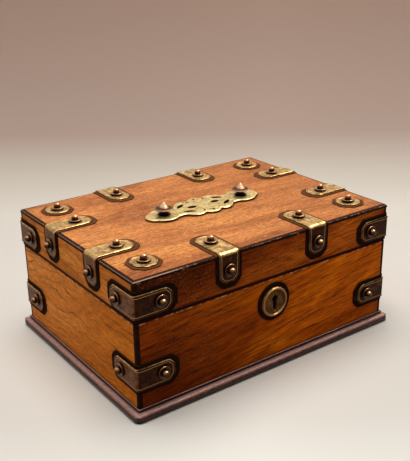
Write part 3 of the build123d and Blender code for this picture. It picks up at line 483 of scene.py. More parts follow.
def ebony(name, pale, dark, worn, lit_top, rub, roughness, coat, level, edge=0.0, foot=0.0):
    """Hardwood with a black stain, a fine grain and brown rubs. Where it faces up it is painted paler, in
    the tone lit_top, as light from above. A painted highlight, as strong as the share edge, runs along the
    rounding of its arrises, weaker where they face the ends and strongest at the left end. Its crevices
    are painted dark as shade, and so is the wood up to the height foot, as shade where it meets the floor."""
    made, tree, shader = surface(name)
    place = place_on(tree)
    grain = cloud(tree, place, 300.0, 4.0, 0.6)
    broad = cloud(tree, place, 30.0, 3.0)
    colour = ramp(tree, grain, (0.3, dark), (0.75, pale))
    rubs = span(tree, cloud(tree, place, 240.0, 5.0, 0.7), 0.56, 0.68)
    wear = sums(tree, "MULTIPLY", rubs, span(tree, broad, 0.4, 0.65, 0.0, rub))
    faced = own_facing(tree)
    rise = faced[2]
    # painted light: the wood is paler where it faces up
    lit_top_tone = mixed(tree, 1.0, lit_top, ramp(tree, grain, (0.3, 0.7), (0.75, 1.2)), "MULTIPLY")
    colour = mixed(tree, span(tree, rise, 0.5, 0.95), colour, lit_top_tone)
    colour = mixed(tree, wear, colour, worn)
    # painted shade in crevices
    crevice = openness(tree, 0.0025)
    colour = mixed(tree, span(tree, crevice, 0.5, 0.95, 0.8, 0.0), colour, dark)
    # a painted highlight along the rounding of the arris, weaker on faces turned to the ends
    whole = span(tree, parts(tree, place)[0], *highlight_left_end, 0.24, 0.0)
    highlight_spread = sums(tree, "ADD", cloud(tree, place, 170.0, 5.0, 0.85), whole)
    painted_arris_highlight = sums(tree, "MULTIPLY", span(tree, rise, 0.42, 0.6), span(tree, rise, 0.72, 0.88, 1.0, 0.0))
    painted_arris_highlight = sums(tree, "MULTIPLY", painted_arris_highlight, span(tree, sums(tree, "ABSOLUTE", faced[0]), 0.2, 0.5, 1.0, 0.3))
    painted_arris_highlight = sums(tree, "MULTIPLY", painted_arris_highlight, span(tree, highlight_spread, 0.5, 0.66, 0.0, edge))
    colour = mixed(tree, painted_arris_highlight, colour, tone(214, 180, 156))
    # painted shade along the foot, where it meets the floor
    if foot:
        height = parts(tree, place)[2]
        colour = mixed(tree, span(tree, height, 0.2 * foot, foot, 0.9, 0.0), colour, tone(14, 4, 1))
    dullness = sums(tree, "MULTIPLY_ADD", grain, 0.2, roughness - 0.08)
    feed(tree, shader, {"Base Color": colour, "Roughness": dullness, "Specular IOR Level": level})
    feed(tree, shader, {"Coat Weight": coat, "Coat Roughness": 0.12})
    embossed(tree, shader, grain, 0.2, 0.0002)
    return made


black_wood = ebony(
    "black_wood", tone(42, 22, 12), tone(16, 7, 3), tone(150, 96, 52), tone(62, 32, 22),
    rub=0.7, roughness=0.35, coat=0.0, level=0.02, edge=0.95,
)
for side in sides:
    dressed(f"lid_edging_{side}", black_wood, "ebonised", "lid")
strip_wood = ebony(
    "strip_wood", tone(44, 22, 12), tone(16, 7, 3), tone(120, 74, 40), tone(58, 33, 22),
    rub=0.4, roughness=0.5, coat=0.0, level=0.02,
)
dressed("body_corner_strips", strip_wood, "ebonised", "case", 0.2 * mm)
dressed("lid_corner_strips", strip_wood, "ebonised", "lid", 0.2 * mm)


# The plinth moulding, a bead over an ovolo run on four lengths of the same stained wood and mitred.
# It is redder and greyer than the edging, painted paler where it faces up as a highlight, and painted
# dark along its foot as shade where it meets the floor.
plinth_wood = ebony(
    "plinth_wood", tone(88, 50, 42), tone(36, 15, 9), tone(170, 122, 96), tone(176, 136, 126),
    rub=0.35, roughness=0.36, coat=0.15, level=0.15, foot=4.0 * mm,
)
for side in sides:
    dressed(f"plinth_{side}", plinth_wood, "ebonised", "case")


# Beds of black-stained veneer under every mount. They stand proud of the oak and frame the brass,
# and are painted paler where they face up, as light from above.
bed_wood = ebony(
    "bed_wood", tone(42, 22, 11), tone(16, 7, 3), tone(96, 54, 26), tone(112, 70, 46),
    rub=0.35, roughness=0.6, coat=0.0, level=0.01,
)
corner_round = 2.0 * mm


def softened(work):
    """Rounds the clipped corners of plates, whose upright and sloping edges are all short."""
    corners = []
    for edge in work.edges:
        if edge.is_manifold and edge.calc_length() < 1.0 * mm:
            if radians(25) < edge.calc_face_angle_signed(0) < radians(60):
                corners.append(edge)
    rounded(work, corners, corner_round, 3)
    return work


for name in ("strap_beds", "lid_bracket_beds", "rosette_beds", "body_bracket_beds"):
    body = "case" if name == "body_bracket_beds" else "lid"
    piece(f"{name}_dressed", softened(merged(name)), bed_wood, "ebonised", body, name)
dressed("escutcheon_bed", bed_wood, "ebonised", "case")


# Straps, brackets and octagons, bent and filed from brass sheet, with a broad bevel and a scribed line
# inside it, painted bright as a highlight. The tops and their bends are bright, partly kept so by hands
# and partly painted light from above. The uprights are a dark red brown, tarnish and painted shade, and
# those on the two ends of the box are painted a little paler, as light.
def old_brass(name, bright, dull, brown, shade, shine, tarnish, roughness):
    """Brass bright where it faces up, partly worn so by hands and partly painted light from above, with a
    painted highlight along its crest. Its upright faces are tarnished and painted darker as shade, those
    that face the ends a little paler as painted light, and its crevices and piercings are painted with
    shade.
    """
    made, tree, shader = surface(name)
    place = place_on(tree)
    crest = node(tree, "ShaderNodeAttribute", attribute_name="crest").outputs["Fac"]
    faced = own_facing(tree)
    rise = faced[2]
    # painted light: faces turned to the ends of the box get the paler end tone
    lit_ends = span(tree, sums(tree, "ABSOLUTE", faced[0]), 0.4, 0.85, 0.0, 0.6)
    mottle = cloud(tree, place, 210.0, 5.0, 0.7, 0.4)
    broad = cloud(tree, place, 55.0, 3.0)
    brush = cloud(tree, vectors(tree, "MULTIPLY", place, (1, 1, 0.12)), 1400.0, 2.0)
    # brighter where it faces up: partly worn by hands, partly painted light, with painted shade on
    # uprights
    rubbed_and_lit = sums(tree, "ADD", span(tree, rise, 0.15, 0.75), span(tree, broad, 0.35, 0.7, -0.15, 0.05))
    rubbed_and_lit = sums(tree, "MAXIMUM", sums(tree, "MINIMUM", rubbed_and_lit, 1.0), 0.0)
    shaded_brass_tone = ramp(tree, mottle, (0.36, shade), (0.64, brown), (1.0, dull))
    lit_end_tone = ramp(tree, mottle, (0.3, brown), (0.6, tone(142, 94, 62)), (0.85, dull))
    shaded_brass_tone = mixed(tree, lit_ends, shaded_brass_tone, lit_end_tone)
    lit_brass_tone = ramp(tree, mottle, (0.26, brown), (0.42, dull), (0.62, bright))
    colour = mixed(tree, rubbed_and_lit, shaded_brass_tone, lit_brass_tone)
    slope = span(tree, crest, 0.3, 0.5, 0.0, 0.3)
    colour = mixed(tree, slope, colour, mixed(tree, rubbed_and_lit, brown, dull))
    # a painted highlight on the flat line where the bevel meets the field
    line = span(tree, crest, 0.8, 0.95, 0.0, 0.85)
    colour = mixed(tree, line, colour, mixed(tree, rubbed_and_lit, dull, bright))
    # painted shade on the walls of piercings and keyholes
    colour = mixed(tree, span(tree, crest, -0.9, -0.1, 0.85, 0.0), colour, shade)
    spots = span(tree, cloud(tree, place, 520.0, 3.0, 0.7), 0.6, 0.72, 0.0, 0.5 * tarnish)
    colour = mixed(tree, spots, colour, mixed(tree, rubbed_and_lit, shade, brown))
    # painted shade in crevices
    crevice = openness(tree, 0.003)
    colour = mixed(tree, span(tree, crevice, 0.45, 0.9, 0.85, 0.0), colour, shade)
    metal = span(tree, rubbed_and_lit, 0.0, 0.8, shine * 0.1, shine)
    dullness = sums(tree, "MULTIPLY_ADD", mottle, 0.22, roughness - 0.08)
    dullness = sums(tree, "MULTIPLY_ADD", spots, 0.3, dullness)
    feed(tree, shader, {"Base Color": colour, "Metallic": metal, "Roughness": dullness})
    feed(tree, shader, {"Specular IOR Level": 0.05})
    height = sums(tree, "MULTIPLY_ADD", brush, 0.25, sums(tree, "MULTIPLY", mottle, 0.5))
    embossed(tree, shader, height, 0.3, 0.0003)
    return made


bevel_width = 1.5 * mm
bevel_drop = 0.4 * mm
line_width = 0.5 * mm


def outer_skin(work, lateral):
    """The faces of bent plates that look away from the wood. Lateral is the axis across their width."""
    skin = []
    for face in work.faces:
        spot = face.calc_center_median()
        outward = [face.normal[axis] * (1 if axis == 2 or spot[axis] > 0 else -1) for axis in range(3)]
        sideways = outward.pop(lateral)
        if min(outward) > -0.1 and abs(sideways) < 0.1:
            skin.append(face)
    return skin


def bevelled(name, skin_of, paint, slot, body):
    """A plate with its broad bevel, and the line where that meets the field, painted bright as a
    highlight.
    """
    work = softened(merged(name))
    crest = work.faces.layers.float.new("crest")
    skin = skin_of(work)
    inside = set(skin)
    bounding = [edge for face in skin for edge in face.edges if not inside.issuperset(edge.link_faces)]
    rim = {vert for edge in bounding for vert in edge.verts}
    even = {"faces": skin, "use_even_offset": True}
    slopes = bmesh.ops.inset_region(work, thickness=bevel_width, **even)["faces"]
    for vert in rim:
        facing = sum((face.normal for face in vert.link_faces if face in slopes), Vector())
        vert.co -= facing.normalized() * bevel_drop
    lines = bmesh.ops.inset_region(work, thickness=line_width, **even)["faces"]
    for face in slopes:
        face[crest] = 0.5
    for face in lines:
        face[crest] = 1.0
    return piece(f"{name}_dressed", work, paint, slot, body, name)


mount_brass = old_brass(
    "mount_brass", tone(254, 222, 156), tone(176, 134, 78), tone(68, 28, 5), tone(27, 9, 1),
    shine=0.85, tarnish=1.0, roughness=0.34,
)
for side, lateral in (("front", 0), ("back", 0), ("left", 1), ("right", 1)):
    bevelled(f"straps_{side}", lambda work: outer_skin(work, lateral), mount_brass, "mount_brass", "lid")
for side in ("front", "back"):
    for name, body in ((f"lid_brackets_{side}", "lid"), (f"body_brackets_{side}", "case")):
        bevelled(name, lambda work: outer_skin(work, 2), mount_brass, "mount_brass", body)


def upper_faces(work):
    """The faces that look straight up."""
    return [face for face in work.faces if face.normal.z > 0.9]


bevelled("rosettes", upper_faces, mount_brass, "mount_brass", "lid")


# Studs that hold the mounts down, turned from brass rod: a cup with a lip, and a ball that stands in
# it. They are all alike, each turned a little its own way.
def lathe(profile, facets):
    """A turned shape about Z from its outline of (radius, height), closed at the axis."""
    work = bmesh.new()
    rows = []
    for radius, height in profile:
        if radius == 0:
            rows.append([work.verts.new((0, 0, height))])
        else:
            steps = [2 * pi * i / facets for i in range(facets)]
            rows.append([work.verts.new((radius * cos(a), radius * sin(a), height)) for a in steps])
    for low, high in zip(rows, rows[1:]):
        for i in range(facets):
            corners = (low, i), (low, i + 1), (high, i + 1), (high, i)
            work.faces.new(list(dict.fromkeys(row[spot % len(row)] for row, spot in corners)))
    bmesh.ops.recalc_face_normals(work, faces=work.faces)
    return work


def arc(centre, radius, start, end, steps):
    """Points of a turned outline along an arc, angles in degrees from the outward radius."""
    angles = [radians(start + (end - start) * i / steps) for i in range(steps + 1)]
    return [(centre[0] + radius * cos(a), centre[1] + radius * sin(a)) for a in angles]


def pattern(name, work):
    """A mesh that only serves as the pattern of a repeated shape."""
    mesh = bpy.data.meshes.new(name)
    work.to_mesh(mesh)
    work.free()
    mesh.shade_smooth()
    mesh.set_sharp_from_angle(angle=radians(40))
    return bpy.data.objects.new(name, mesh)


def setting_tree():
    """Sets one pattern at every point, out along the point's facing, at its own turn."""
    tree = bpy.data.node_groups.new("set_fastenings", "GeometryNodeTree")
    tree.is_modifier = True
    inputs = {
        "Geometry": "Geometry", "Pattern": "Object", "Lean": "Float", "Seed": "Int",
        "Finish": "Material",
    }
    for title, kind in inputs.items():
        tree.interface.new_socket(title, in_out="INPUT", socket_type=f"NodeSocket{kind}")
    tree.interface.new_socket("Geometry", in_out="OUTPUT", socket_type="NodeSocketGeometry")
    given = node(tree, "NodeGroupInput").outputs
    shape = node(tree, "GeometryNodeObjectInfo", {"Object": given["Pattern"]}).outputs["Geometry"]
    facing = node(tree, "GeometryNodeInputNamedAttribute", {"Name": "facing"}, data_type="FLOAT_VECTOR")
    stand = node(tree, "FunctionNodeAlignRotationToVector", {"Vector": facing.outputs[0]}, axis="Z")
    slant = sums(tree, "MULTIPLY", given["Lean"], -1.0)
    draws = []
    for step, (low, high) in enumerate(((slant, given["Lean"]), (slant, given["Lean"]), (0.0, 2 * pi))):
        seed = sums(tree, "ADD", given["Seed"], float(step))
        draw = node(tree, "FunctionNodeRandomValue", {2: low, 3: high, 8: seed}, data_type="FLOAT")
        draws.append(draw.outputs[1])
    spin = node(tree, "ShaderNodeCombineXYZ", dict(enumerate(draws)))
    spin = node(tree, "FunctionNodeEulerToRotation", {0: spin.outputs[0]})
    sockets = {"Rotation": stand.outputs[0], "Rotate By": spin.outputs[0]}
    pose = node(tree, "FunctionNodeRotateRotation", sockets, rotation_space="LOCAL")
    sockets = {"Points": given["Geometry"], "Instance": shape, "Rotation": pose.outputs[0]}
    copies = node(tree, "GeometryNodeInstanceOnPoints", sockets)
    real = node(tree, "GeometryNodeRealizeInstances", {0: copies.outputs[0]})
    sockets = {"Geometry": real.outputs[0], "Material": given["Finish"]}
    painted = node(tree, "GeometryNodeSetMaterial", sockets)
    node(tree, "NodeGroupOutput", {0: painted.outputs[0]})
    return tree


fastenings = setting_tree()


def fastened(name, spots, master, paint, slot, body, stands_for, lean=0.0):
    """Copies of one fastening at all its spots on a body, as one plain mesh. A spot is its place and
    the way that it faces."""
    mesh = bpy.data.meshes.new(f"{name}_spots")
    mesh.from_pydata([spot for spot, _ in spots], [], [])
    facing = mesh.attributes.new("facing", "FLOAT_VECTOR", "POINT")
    facing.data.foreach_set("vector", [value for _, out in spots for value in out])
    carrier = bpy.data.objects.new(f"{name}_carrier", mesh)
    bpy.context.scene.collection.objects.link(carrier)
    modifier = carrier.modifiers.new("setting", "NODES")
    modifier.node_group = fastenings
    values = {"Pattern": master, "Lean": lean, "Seed": 7, "Finish": paint}
    for socket in fastenings.interface.items_tree:
        if socket.in_out == "INPUT" and socket.name in values:
            modifier[socket.identifier] = values[socket.name]
    graph = bpy.context.evaluated_depsgraph_get()
    done = bpy.data.meshes.new_from_object(carrier.evaluated_get(graph))
    carrier.modifiers.clear()
    bpy.data.objects.remove(carrier)
    done.name = name
    made = bpy.data.objects.new(name, done)
    bpy.context.scene.collection.objects.link(made)
    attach(made, body)
    if stands_for:
        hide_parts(stands_for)
    return made


def turned_brass(name, bright, dull, brown, roughness=0.3, foot=0.0, tip=0.0, light_and_shade_bands=()):
    """Lathe-turned brass, bright where it faces up, partly worn so and partly a painted highlight, and
    brown in its hollows, patina with painted shade. Given light_and_shade_bands, it has a painted tone of
    light and shade for each height from foot to tip instead."""
    made, tree, shader = surface(name)
    place = place_on(tree)
    rise = own_facing(tree)[2]
    mottle = cloud(tree, place, 330.0, 4.0, 0.6)
    # bright where it faces up: partly worn, partly a painted highlight
    rubbed_and_lit = span(tree, sums(tree, "MULTIPLY_ADD", mottle, 0.6, rise), 0.25, 1.25)
    colour = ramp(tree, rubbed_and_lit, (0.0, brown), (0.45, dull), (0.9, bright))
    # painted shade, with patina, in hollows
    hollow = openness(tree, 0.003)
    colour = mixed(tree, span(tree, hollow, 0.35, 0.85, 0.92, 0.0), colour, brown)
    # painted light and shade by height
    if light_and_shade_bands:
        above = sums(tree, "SUBTRACT", parts(tree, place)[2], foot)
        banded = ramp(tree, sums(tree, "DIVIDE", above, tip - foot), *light_and_shade_bands)
        colour = mixed(tree, 0.3, banded, ramp(tree, mottle, (0.3, dull), (0.6, bright)), "MULTIPLY")
    metal = span(tree, rubbed_and_lit, 0.0, 0.6, 0.55, 0.9)
    dullness = sums(tree, "MULTIPLY_ADD", mottle, 0.2, roughness - 0.06)
    feed(tree, shader, {"Base Color": colour, "Metallic": metal, "Roughness": dullness})
    feed(tree, shader, {"Specular IOR Level": 0.3})
    embossed(tree, shader, mottle, 0.2, 0.0002)
    return made


# the case, the faces of its mounts, and how far in and how high the studs stand
half_length = 145 * mm
half_width = 106 * mm
face_x, face_y = half_length + 2.0 * mm, half_width + 2.0 * mm
top_face = 128.5 * mm
strap_front, strap_side = 51 * mm, 38 * mm
strap_inset, strap_rise = 25 * mm, 111.5 * mm
rosette_inset = 27 * mm
bracket_inset = 24 * mm
lid_bracket_rise, body_bracket_rise = 104.0 * mm, 37.8 * mm
lid_spots = []
case_spots = []
for end in (-1, 1):
    for x in (-strap_front, strap_front):
        lid_spots.append(((x, end * (half_width - strap_inset), top_face), up))
        lid_spots.append(((x, end * face_y, strap_rise), Vector((0, end, 0))))
    for y in (-strap_side, strap_side):
        lid_spots.append(((end * (half_length - strap_inset), y, top_face), up))
        lid_spots.append(((end * face_x, y, strap_rise), Vector((end, 0, 0))))
    for x in (-1, 1):
        corner = x * (half_length - rosette_inset), end * (half_width - rosette_inset), top_face
        lid_spots.append((corner, up))
        for spots, rise in ((lid_spots, lid_bracket_rise), (case_spots, body_bracket_rise)):
            in_front = x * (half_length - bracket_inset), end * face_y, rise
            spots.append((in_front, Vector((0, end, 0))))
            beside = x * face_x, end * (half_width - bracket_inset), rise
            spots.append((beside, Vector((x, 0, 0))))

stud_outline = [(0, 0.0), (5.2, 0.0), (5.3, 0.3), (5.7, 0.9)]
stud_outline += arc((5.55, 1.35), 0.5, -30, 130, 5)
stud_outline += [(4.3, 1.75), (3.7, 1.45), (2.9, 1.4)]
stud_outline += arc((0, 3.0), 3.2, -34, 82, 9)
stud_outline += [(0, 6.2)]
stud_master = pattern("stud_pattern", lathe([(r * mm, z * mm) for r, z in stud_outline], 32))
stud_brass = turned_brass("stud_brass", tone(204, 154, 112), tone(126, 80, 48), tone(40, 18, 8), 0.26)
stud_kind = stud_master, stud_brass, "turned_brass"
stud_lean = radians(1.5)
fastened("studs_of_lid", lid_spots, *stud_kind, "lid", "lid_studs", stud_lean)
fastened("studs_of_body", case_spots, *stud_kind, "case", "body_studs", stud_lean)


# The handle plate, cast brass with leaf-shaped piercings and scalloped, bevelled edges. It is the
# brightest metal on the box, held by the two posts.
plate_brass = old_brass(
    "plate_brass", tone(255, 246, 190), tone(230, 192, 116), tone(122, 84, 38), tone(50, 28, 12),
    shine=0.8, tarnish=0.8, roughness=0.32,
)
piercing_wear = 0.4 * mm
work = bmesh.new()
work.from_mesh(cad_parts["handle_plate"].data)
bmesh.ops.remove_doubles(work, verts=work.verts, dist=1e-6)
crest = work.faces.layers.float.new("crest")
slopes = {face for face in work.faces if 0.2 < face.normal.z < 0.95}
outline = set()
growing = [max(slopes, key=lambda face: face.calc_center_median().x)]
while growing:
    face = growing.pop()
    if face not in outline:
        outline.add(face)
        growing += [other for edge in face.edges for other in edge.link_faces if other in slopes]
outer_edge = {vert for face in outline for vert in face.verts}
pierced = [face for face in work.faces if -0.5 < face.normal.z < 0.95 and face not in outline]
pierced = [face for face in pierced if outer_edge.isdisjoint(face.verts)]
inward = {}
for face in pierced:
    for vert in face.verts:
        inward[vert] = inward.get(vert, Vector()) + Vector((face.normal.x, face.normal.y, 0))
for vert, direction in inward.items():
    vert.co -= direction.normalized() * piercing_wear
# the bevelled outline gets a painted highlight along its crest, and the piercings' walls painted shade
for face in outline:
    face[crest] = 1.0
for face in pierced:
    face[crest] = -1.0
piece("handle_plate_dressed", work, plate_brass, "mount_brass", "lid", "handle_plate")


# Two turned posts that carried the handle: a narrow foot and neck under a wide mushroom rim, with a
# shallow dish on top and a cone rising from it.
post_outline = [(0, 0), (6.0, 0), (6.0, 0.5), (5.0, 1.0), (4.3, 1.7), (4.1, 2.6), (4.6, 3.5), (6.2, 4.3)]
post_outline += [(8.2, 4.9), (9.0, 5.3), (9.2, 5.7), (9.0, 6.1), (8.2, 6.4), (6.6, 6.75), (5.3, 6.85)]
post_outline += [(4.8, 7.05), (3.9, 7.9), (2.8, 9.1), (1.7, 10.5), (0.8, 11.8), (0.4, 12.3), (0, 12.4)]
post_master = pattern("post_pattern", lathe([(r * mm, z * mm) for r, z in post_outline], 48))
# tones by height: the neck and the underside of the rim painted dark as shade, the rim's edge pale as a
# painted highlight, the dish a darker brown, and the cone painted bright towards its tip as a highlight
post_light_and_shade = (
    (0.0, tone(30, 14, 6)),
    (0.43, tone(40, 20, 10)),
    (0.455, tone(176, 146, 122)),
    (0.505, tone(184, 154, 130)),
    (0.53, tone(84, 56, 40)),
    (0.57, tone(82, 54, 38)),
    (0.62, tone(196, 152, 120)),
    (0.74, tone(250, 230, 204)),
)
post_foot, post_tip = 129.1 * mm, 141.5 * mm
post_reach = 46 * mm
post_brass = turned_brass(
    "post_brass", tone(236, 214, 190), tone(150, 112, 84), tone(46, 24, 14),
    roughness=0.4, foot=post_foot, tip=post_tip, light_and_shade_bands=post_light_and_shade,
)
post_spots = [((x, 0, post_foot), up) for x in (-post_reach, post_reach)]
fastened("handle_posts_turned", post_spots, post_master, post_brass, "turned_brass", "lid", "handle_posts")


# The escutcheon, a turned brass plate with a raised ring round a worn, domed floor. The keyhole has
# soft edges, and two small pins above and below it hold the plate.
key_spot = Vector((0, -half_width - 0.7 * mm, 65.8 * mm))
keyhole_bow = 3.1 * mm
keyhole_rise = 3.3 * mm
keyhole_half_slot = 1.8 * mm
keyhole_foot = 6.8 * mm


def keyhole_reach(angle):
    """How far the keyhole reaches from the middle of the plate, at an angle."""
    across, rising = abs(cos(angle)), sin(angle)
    half_chord = keyhole_bow**2 - (keyhole_rise * across) ** 2
    if rising > 0 and half_chord > 0:
        return keyhole_rise * rising + half_chord**0.5
    if rising < 0 and keyhole_foot * across < -keyhole_half_slot * rising:
        return -keyhole_foot / rising
    return keyhole_half_slot / across


def escutcheon_mesh(steps, rings):
    """Rings of points from the keyhole's edge out to the rim, and back under the plate."""
    work = bmesh.new()
    angles = [2 * pi * (i + 0.5) / steps for i in range(steps)]
    holes = [keyhole_reach(angle) for angle in angles]
    rows = []
    for radius, margin, height in rings:
        reaches = [radius or hole + margin for hole in holes]
        rows.append([
            work.verts.new(key_spot + Vector((reach * cos(angle), -height, reach * sin(angle))))
            for reach, angle in zip(reaches, angles)
        ])
    for low, high in zip(rows, rows[1:] + rows[:1]):
        for i in range(steps):
            following = (i + 1) % steps
            work.faces.new((low[i], low[following], high[following], high[i]))
    bmesh.ops.recalc_face_normals(work, faces=work.faces)
    return work


# radius, or else the margin round the keyhole, and the height off the bed
escutcheon_rings = [
    (0, 0.0, 0.0),
    (0, 0.0, 1.2),
    (0, 0.7, 1.55),
    (8.0, 0, 1.6),
    (9.8, 0, 1.35),
    (11.2, 0, 1.0),
    (11.7, 0, 1.2),
    (12.1, 0, 2.1),
    (12.5, 0, 2.5),
    (12.9, 0, 2.6),
    (13.3, 0, 2.5),
    (13.9, 0, 2.0),
    (14.3, 0, 1.3),
    (14.4, 0, 0.0),
]
scaled_rings = [tuple(part * mm for part in ring) for ring in escutcheon_rings]
lock_brass = old_brass(
    "lock_brass", tone(232, 194, 134), tone(168, 122, 64), tone(108, 70, 28), tone(54, 28, 9),
    shine=0.8, tarnish=0.9, roughness=0.32,
)
keyhole_steps = 120
work = escutcheon_mesh(keyhole_steps, scaled_rings)
crest = work.faces.layers.float.new("crest")
# a painted highlight along the top of the raised ring
for face in work.faces:
    spot = face.calc_center_median() - key_spot
    out = Vector((spot.x, spot.z)).length
    if 12.2 * mm < out < 13.6 * mm:
        face[crest] = 0.9
# the keyhole's wall and its soft edge, which are the first two rings of faces, painted with shade
for face in list(work.faces)[: 2 * keyhole_steps]:
    face[crest] = -1.0
piece("escutcheon_turned", work, lock_brass, "mount_brass", "case", "escutcheon")
# painted shade in the keyhole
shaded_under_plate(front_oak, key_spot, (0.012, 0.012, 0.012))
pin_outline = [(0, -0.6), (0.9, -0.6), (0.9, 0.3)] + arc((0, 0.1), 0.92, 12, 85, 4) + [(0, 1.02)]
pin_master = pattern("pin_pattern", lathe([(r * mm, z * mm) for r, z in pin_outline], 16))
pin_seat = -1.4 * mm
pin_spots = [(key_spot + Vector((0, pin_seat, rise * mm)), Vector((0, -1, 0))) for rise in (9.6, -9.6)]
fastened("escutcheon_pins", pin_spots, pin_master, stud_brass, "turned_brass", "case", None)


# Hinges, nuts, lock and link plate keep the shape of their solids. The hinges and nuts are brass, and
# the lock is iron, browned and oiled.
hinge_brass = old_brass(
    "hinge_brass", tone(214, 176, 104), tone(170, 134, 76), tone(130, 96, 50), tone(80, 54, 28),
    shine=0.9, tarnish=0.7, roughness=0.3,
)
lock_iron = old_brass(
    "lock_iron", tone(150, 146, 140), tone(126, 120, 112), tone(100, 92, 82), tone(62, 44, 32),
    shine=0.9, tarnish=1.0, roughness=0.38,
)
for side, body in (("body", "case"), ("lid", "lid")):
    dressed(f"hinge_leaves_{side}", hinge_brass, "hinge_brass", body)
dressed("hinge_pins", hinge_brass, "hinge_brass", "case")
dressed("post_nuts", hinge_brass, "hinge_brass", "lid", 0.3 * mm)
dressed("lock_plate", lock_iron, "lock_iron", "case")
dressed("link_plate", lock_iron, "lock_iron", "lid")
for name in ("lock_rim", "lock_cap", "lock_pins"):
    dressed(name, lock_iron, "lock_iron", "case")
for name in ("lock_bolt", "bolt_spring"):
    dressed(name, lock_iron, "lock_iron", "bolt", 0.15 * mm)


# Countersunk wood screws with slotted heads, brass in the hinges and iron in the lock. Each was
# driven home at its own angle.
def screw_mesh(head, thickness, shank, length, slot_width, slot_depth):
    """A flat head with its slot filed straight across, over a shank that tapers to a point."""
    outline = [(0, -length), (shank * 0.5, -length + 1.5 * mm), (shank, -length + 4.0 * mm)]
    outline += [(shank, -thickness - 0.6 * mm), (head, -0.25 * mm), (head, 0.0)]
    work = lathe(outline, 24)
    rim = sorted((v for v in work.verts if v.co.z > -0.01 * mm), key=lambda v: atan2(v.co.y, v.co.x))
    work.faces.new(rim)
    for offset in (-slot_width / 2, slot_width / 2):
        cutting = work.verts[:] + work.edges[:] + work.faces[:]
        bmesh.ops.bisect_plane(work, geom=cutting, plane_co=(0, offset, 0), plane_no=(0, 1, 0))
    slot_faces = []
    for face in work.faces:
        middle = face.calc_center_median()
        if face.normal.z > 0.9 and abs(middle.y) < slot_width / 2 and middle.z > -0.01 * mm:
            slot_faces.append(face)
    bmesh.ops.inset_region(work, faces=slot_faces, thickness=0.12 * mm, depth=-slot_depth)
    bmesh.ops.recalc_face_normals(work, faces=work.faces)
    return work


screw_master = pattern(
    "screw_pattern",
    screw_mesh(
        head=2.2 * mm, thickness=0.8 * mm, shank=1.1 * mm,
        length=7.5 * mm, slot_width=0.8 * mm, slot_depth=0.45 * mm,
    ),
)
screw_brass = turned_brass("screw_brass", tone(222, 184, 116), tone(160, 124, 70), tone(80, 54, 28))
screw_iron = turned_brass("screw_iron", tone(150, 146, 140), tone(112, 106, 98), tone(62, 46, 36))
leaf_x = [(side * 85 + end * 11) * mm for side in (-1, 1) for end in (-1, 1)]
leaf_y = 101.5 * mm
lock_x = (-32.5 * mm, 32.5 * mm)
selvedge_y = -99.75 * mm
body_rim, lid_rim = 89.5 * mm, 89.8 * mm
lock_back = (-96.0 * mm, 61.5 * mm)
hinge_spots = [((x, leaf_y, body_rim), up) for x in leaf_x]
lid_screw_spots = [((x, leaf_y, lid_rim), -up) for x in leaf_x]
lid_screw_spots += [((x, selvedge_y, lid_rim), -up) for x in lock_x]
lock_spots = [((x, selvedge_y, body_rim), up) for x in lock_x]
lock_spots += [((x, *lock_back), Vector((0, 1, 0))) for x in lock_x]
for name, spots, paint, slot, body, stands_for in (
    ("screws_of_hinges", hinge_spots, screw_brass, "hinge_brass", "case", "body_hinge_screws"),
    ("screws_of_lid", lid_screw_spots, screw_brass, "hinge_brass", "lid", "lid_screws"),
    ("screws_of_lock", lock_spots, screw_iron, "lock_iron", "case", "lock_screws"),
):
    fastened(name, spots, screw_master, paint, slot, body, stands_for)


# The lining: card panels covered in dark red silk velvet over a thin wadding, and two padded boards
# of the same velvet, one on the floor and one under the lid.
def velvet(name, deep, light):
    """Cut pile, with a fine nap, crushed patches and a pale sheen where it turns away."""
    made, tree, shader = surface(name)
    place = place_on(tree)
    nap = cloud(tree, place, 2600.0, 2.0, 0.6)
    crushed = cloud(tree, vectors(tree, "MULTIPLY", place, (1, 0.4, 1)), 45.0, 3.0, 0.6, 0.7)
    worn = span(tree, cloud(tree, place, 12.0, 2.0), 0.45, 0.7, 0.0, 0.4)
    colour = ramp(tree, crushed, (0.3, deep), (0.7, light))
    colour = mixed(tree, 0.5, colour, ramp(tree, nap, (0.3, 0.3), (0.7, 0.75)), "OVERLAY")
    colour = mixed(tree, worn, colour, light)
    dullness = sums(tree, "MULTIPLY_ADD", nap, 0.15, 0.78)
    feed(tree, shader, {"Base Color": colour, "Roughness": dullness, "Specular IOR Level": 0.1})
    sheen = {"Sheen Weight": 0.5, "Sheen Roughness": 0.4, "Sheen Tint": tone(240, 150, 150)}
    feed(tree, shader, sheen)
    height = sums(tree, "MULTIPLY_ADD", crushed, 0.6, sums(tree, "MULTIPLY", nap, 0.4))
    embossed(tree, shader, height, 0.5, 0.0004)
    return made


red_velvet = velvet("red_velvet", tone(70, 8, 14), tone(120, 22, 28))
linings = [(f"lining_{side}", "case") for side in sides]
for name, body in linings + [("lid_linings", "lid")]:
    dressed(name, red_velvet, "velvet", body, 0.3 * mm)

pad_length = 264.4 * mm
pad_width = 186.4 * mm
pad_corner = 4.0 * mm
pad_cell = 5.0 * mm
side_swell = 0.8 * mm
swell_frames = 20


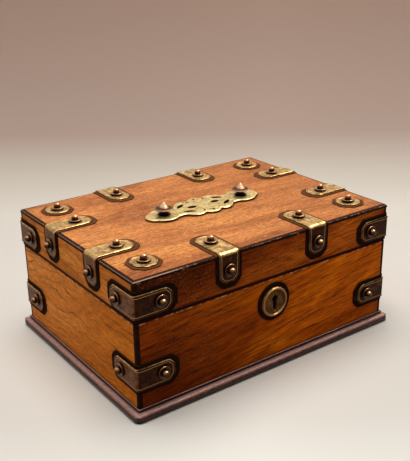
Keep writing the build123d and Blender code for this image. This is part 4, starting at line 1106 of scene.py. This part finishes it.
def pad_mesh(foot, thickness, turned):
    """A thin closed slab of even cells, with rounded corners. Its flat side is at foot."""
    work = bmesh.new()
    cells = round(pad_length / pad_cell), round(pad_width / pad_cell)
    bmesh.ops.create_grid(work, x_segments=cells[0], y_segments=cells[1], size=0.5)
    reach = pad_length / 2 - pad_corner, pad_width / 2 - pad_corner
    for vert in work.verts:
        spot = Vector((vert.co.x * pad_length, vert.co.y * pad_width))
        centre = Vector([max(min(part, limit), -limit) for part, limit in zip(spot, reach)])
        if (spot - centre).length > pad_corner:
            spot = centre + (spot - centre).normalized() * pad_corner
        vert.co = (spot.x, spot.y, foot)
    risen = bmesh.ops.extrude_face_region(work, geom=work.faces[:])["geom"]
    for vert in (part for part in risen if isinstance(part, bmesh.types.BMVert)):
        vert.co.z += -thickness if turned else thickness
    bmesh.ops.recalc_face_normals(work, faces=work.faces)
    return work


def stuffed(name, node_name, body, foot, thickness, swell, turned):
    """A pad blown up by cloth simulation from its slab, held flat along its board."""
    made = piece(name, pad_mesh(foot, thickness, turned), red_velvet, "velvet", body, node_name)
    made.modifiers.clear()
    mesh = made.data
    rest = [vert.co.copy() for vert in mesh.vertices]
    board = made.vertex_groups.new(name="board")
    board.add([v.index for v in mesh.vertices if abs(v.co.z - foot) < 0.1 * mm], 1.0, "REPLACE")
    cloth = made.modifiers.new("cloth", "CLOTH")
    cloth.settings.quality = 6
    cloth.settings.mass = 0.3
    cloth.settings.vertex_group_mass = "board"
    cloth.settings.use_pressure = True
    cloth.settings.uniform_pressure_force = 4.0
    cloth.settings.effector_weights.gravity = 0.0
    for moment in range(1, swell_frames + 1):
        bpy.context.scene.frame_set(moment)
    graph = bpy.context.evaluated_depsgraph_get()
    swollen = made.evaluated_get(graph).to_mesh()
    moved = [vert.co - start for vert, start in zip(swollen.vertices, rest)]
    made.evaluated_get(graph).to_mesh_clear()
    made.modifiers.remove(cloth)
    made.vertex_groups.clear()
    furthest = max(abs(step.z) for step in moved)
    for vert, start, step in zip(mesh.vertices, rest, moved):
        side = Vector((step.x, step.y, 0))
        side *= min(1.0, side_swell / max(side.length, 1e-9))
        vert.co = start + side + Vector((0, 0, step.z * swell / max(furthest, 1e-9)))
    bpy.context.scene.frame_set(1)
    smooth = made.modifiers.new("smooth", "SUBSURF")
    smooth.levels = 1
    smooth.render_levels = 1
    mesh.shade_smooth()
    return made


stuffed("floor_cushion", "floor_pad", "case", 8.9 * mm, 2.9 * mm, 1.8 * mm, False)
stuffed("lid_cushion", "lid_pad", "lid", 118.9 * mm, 3.9 * mm, 2.9 * mm, True)
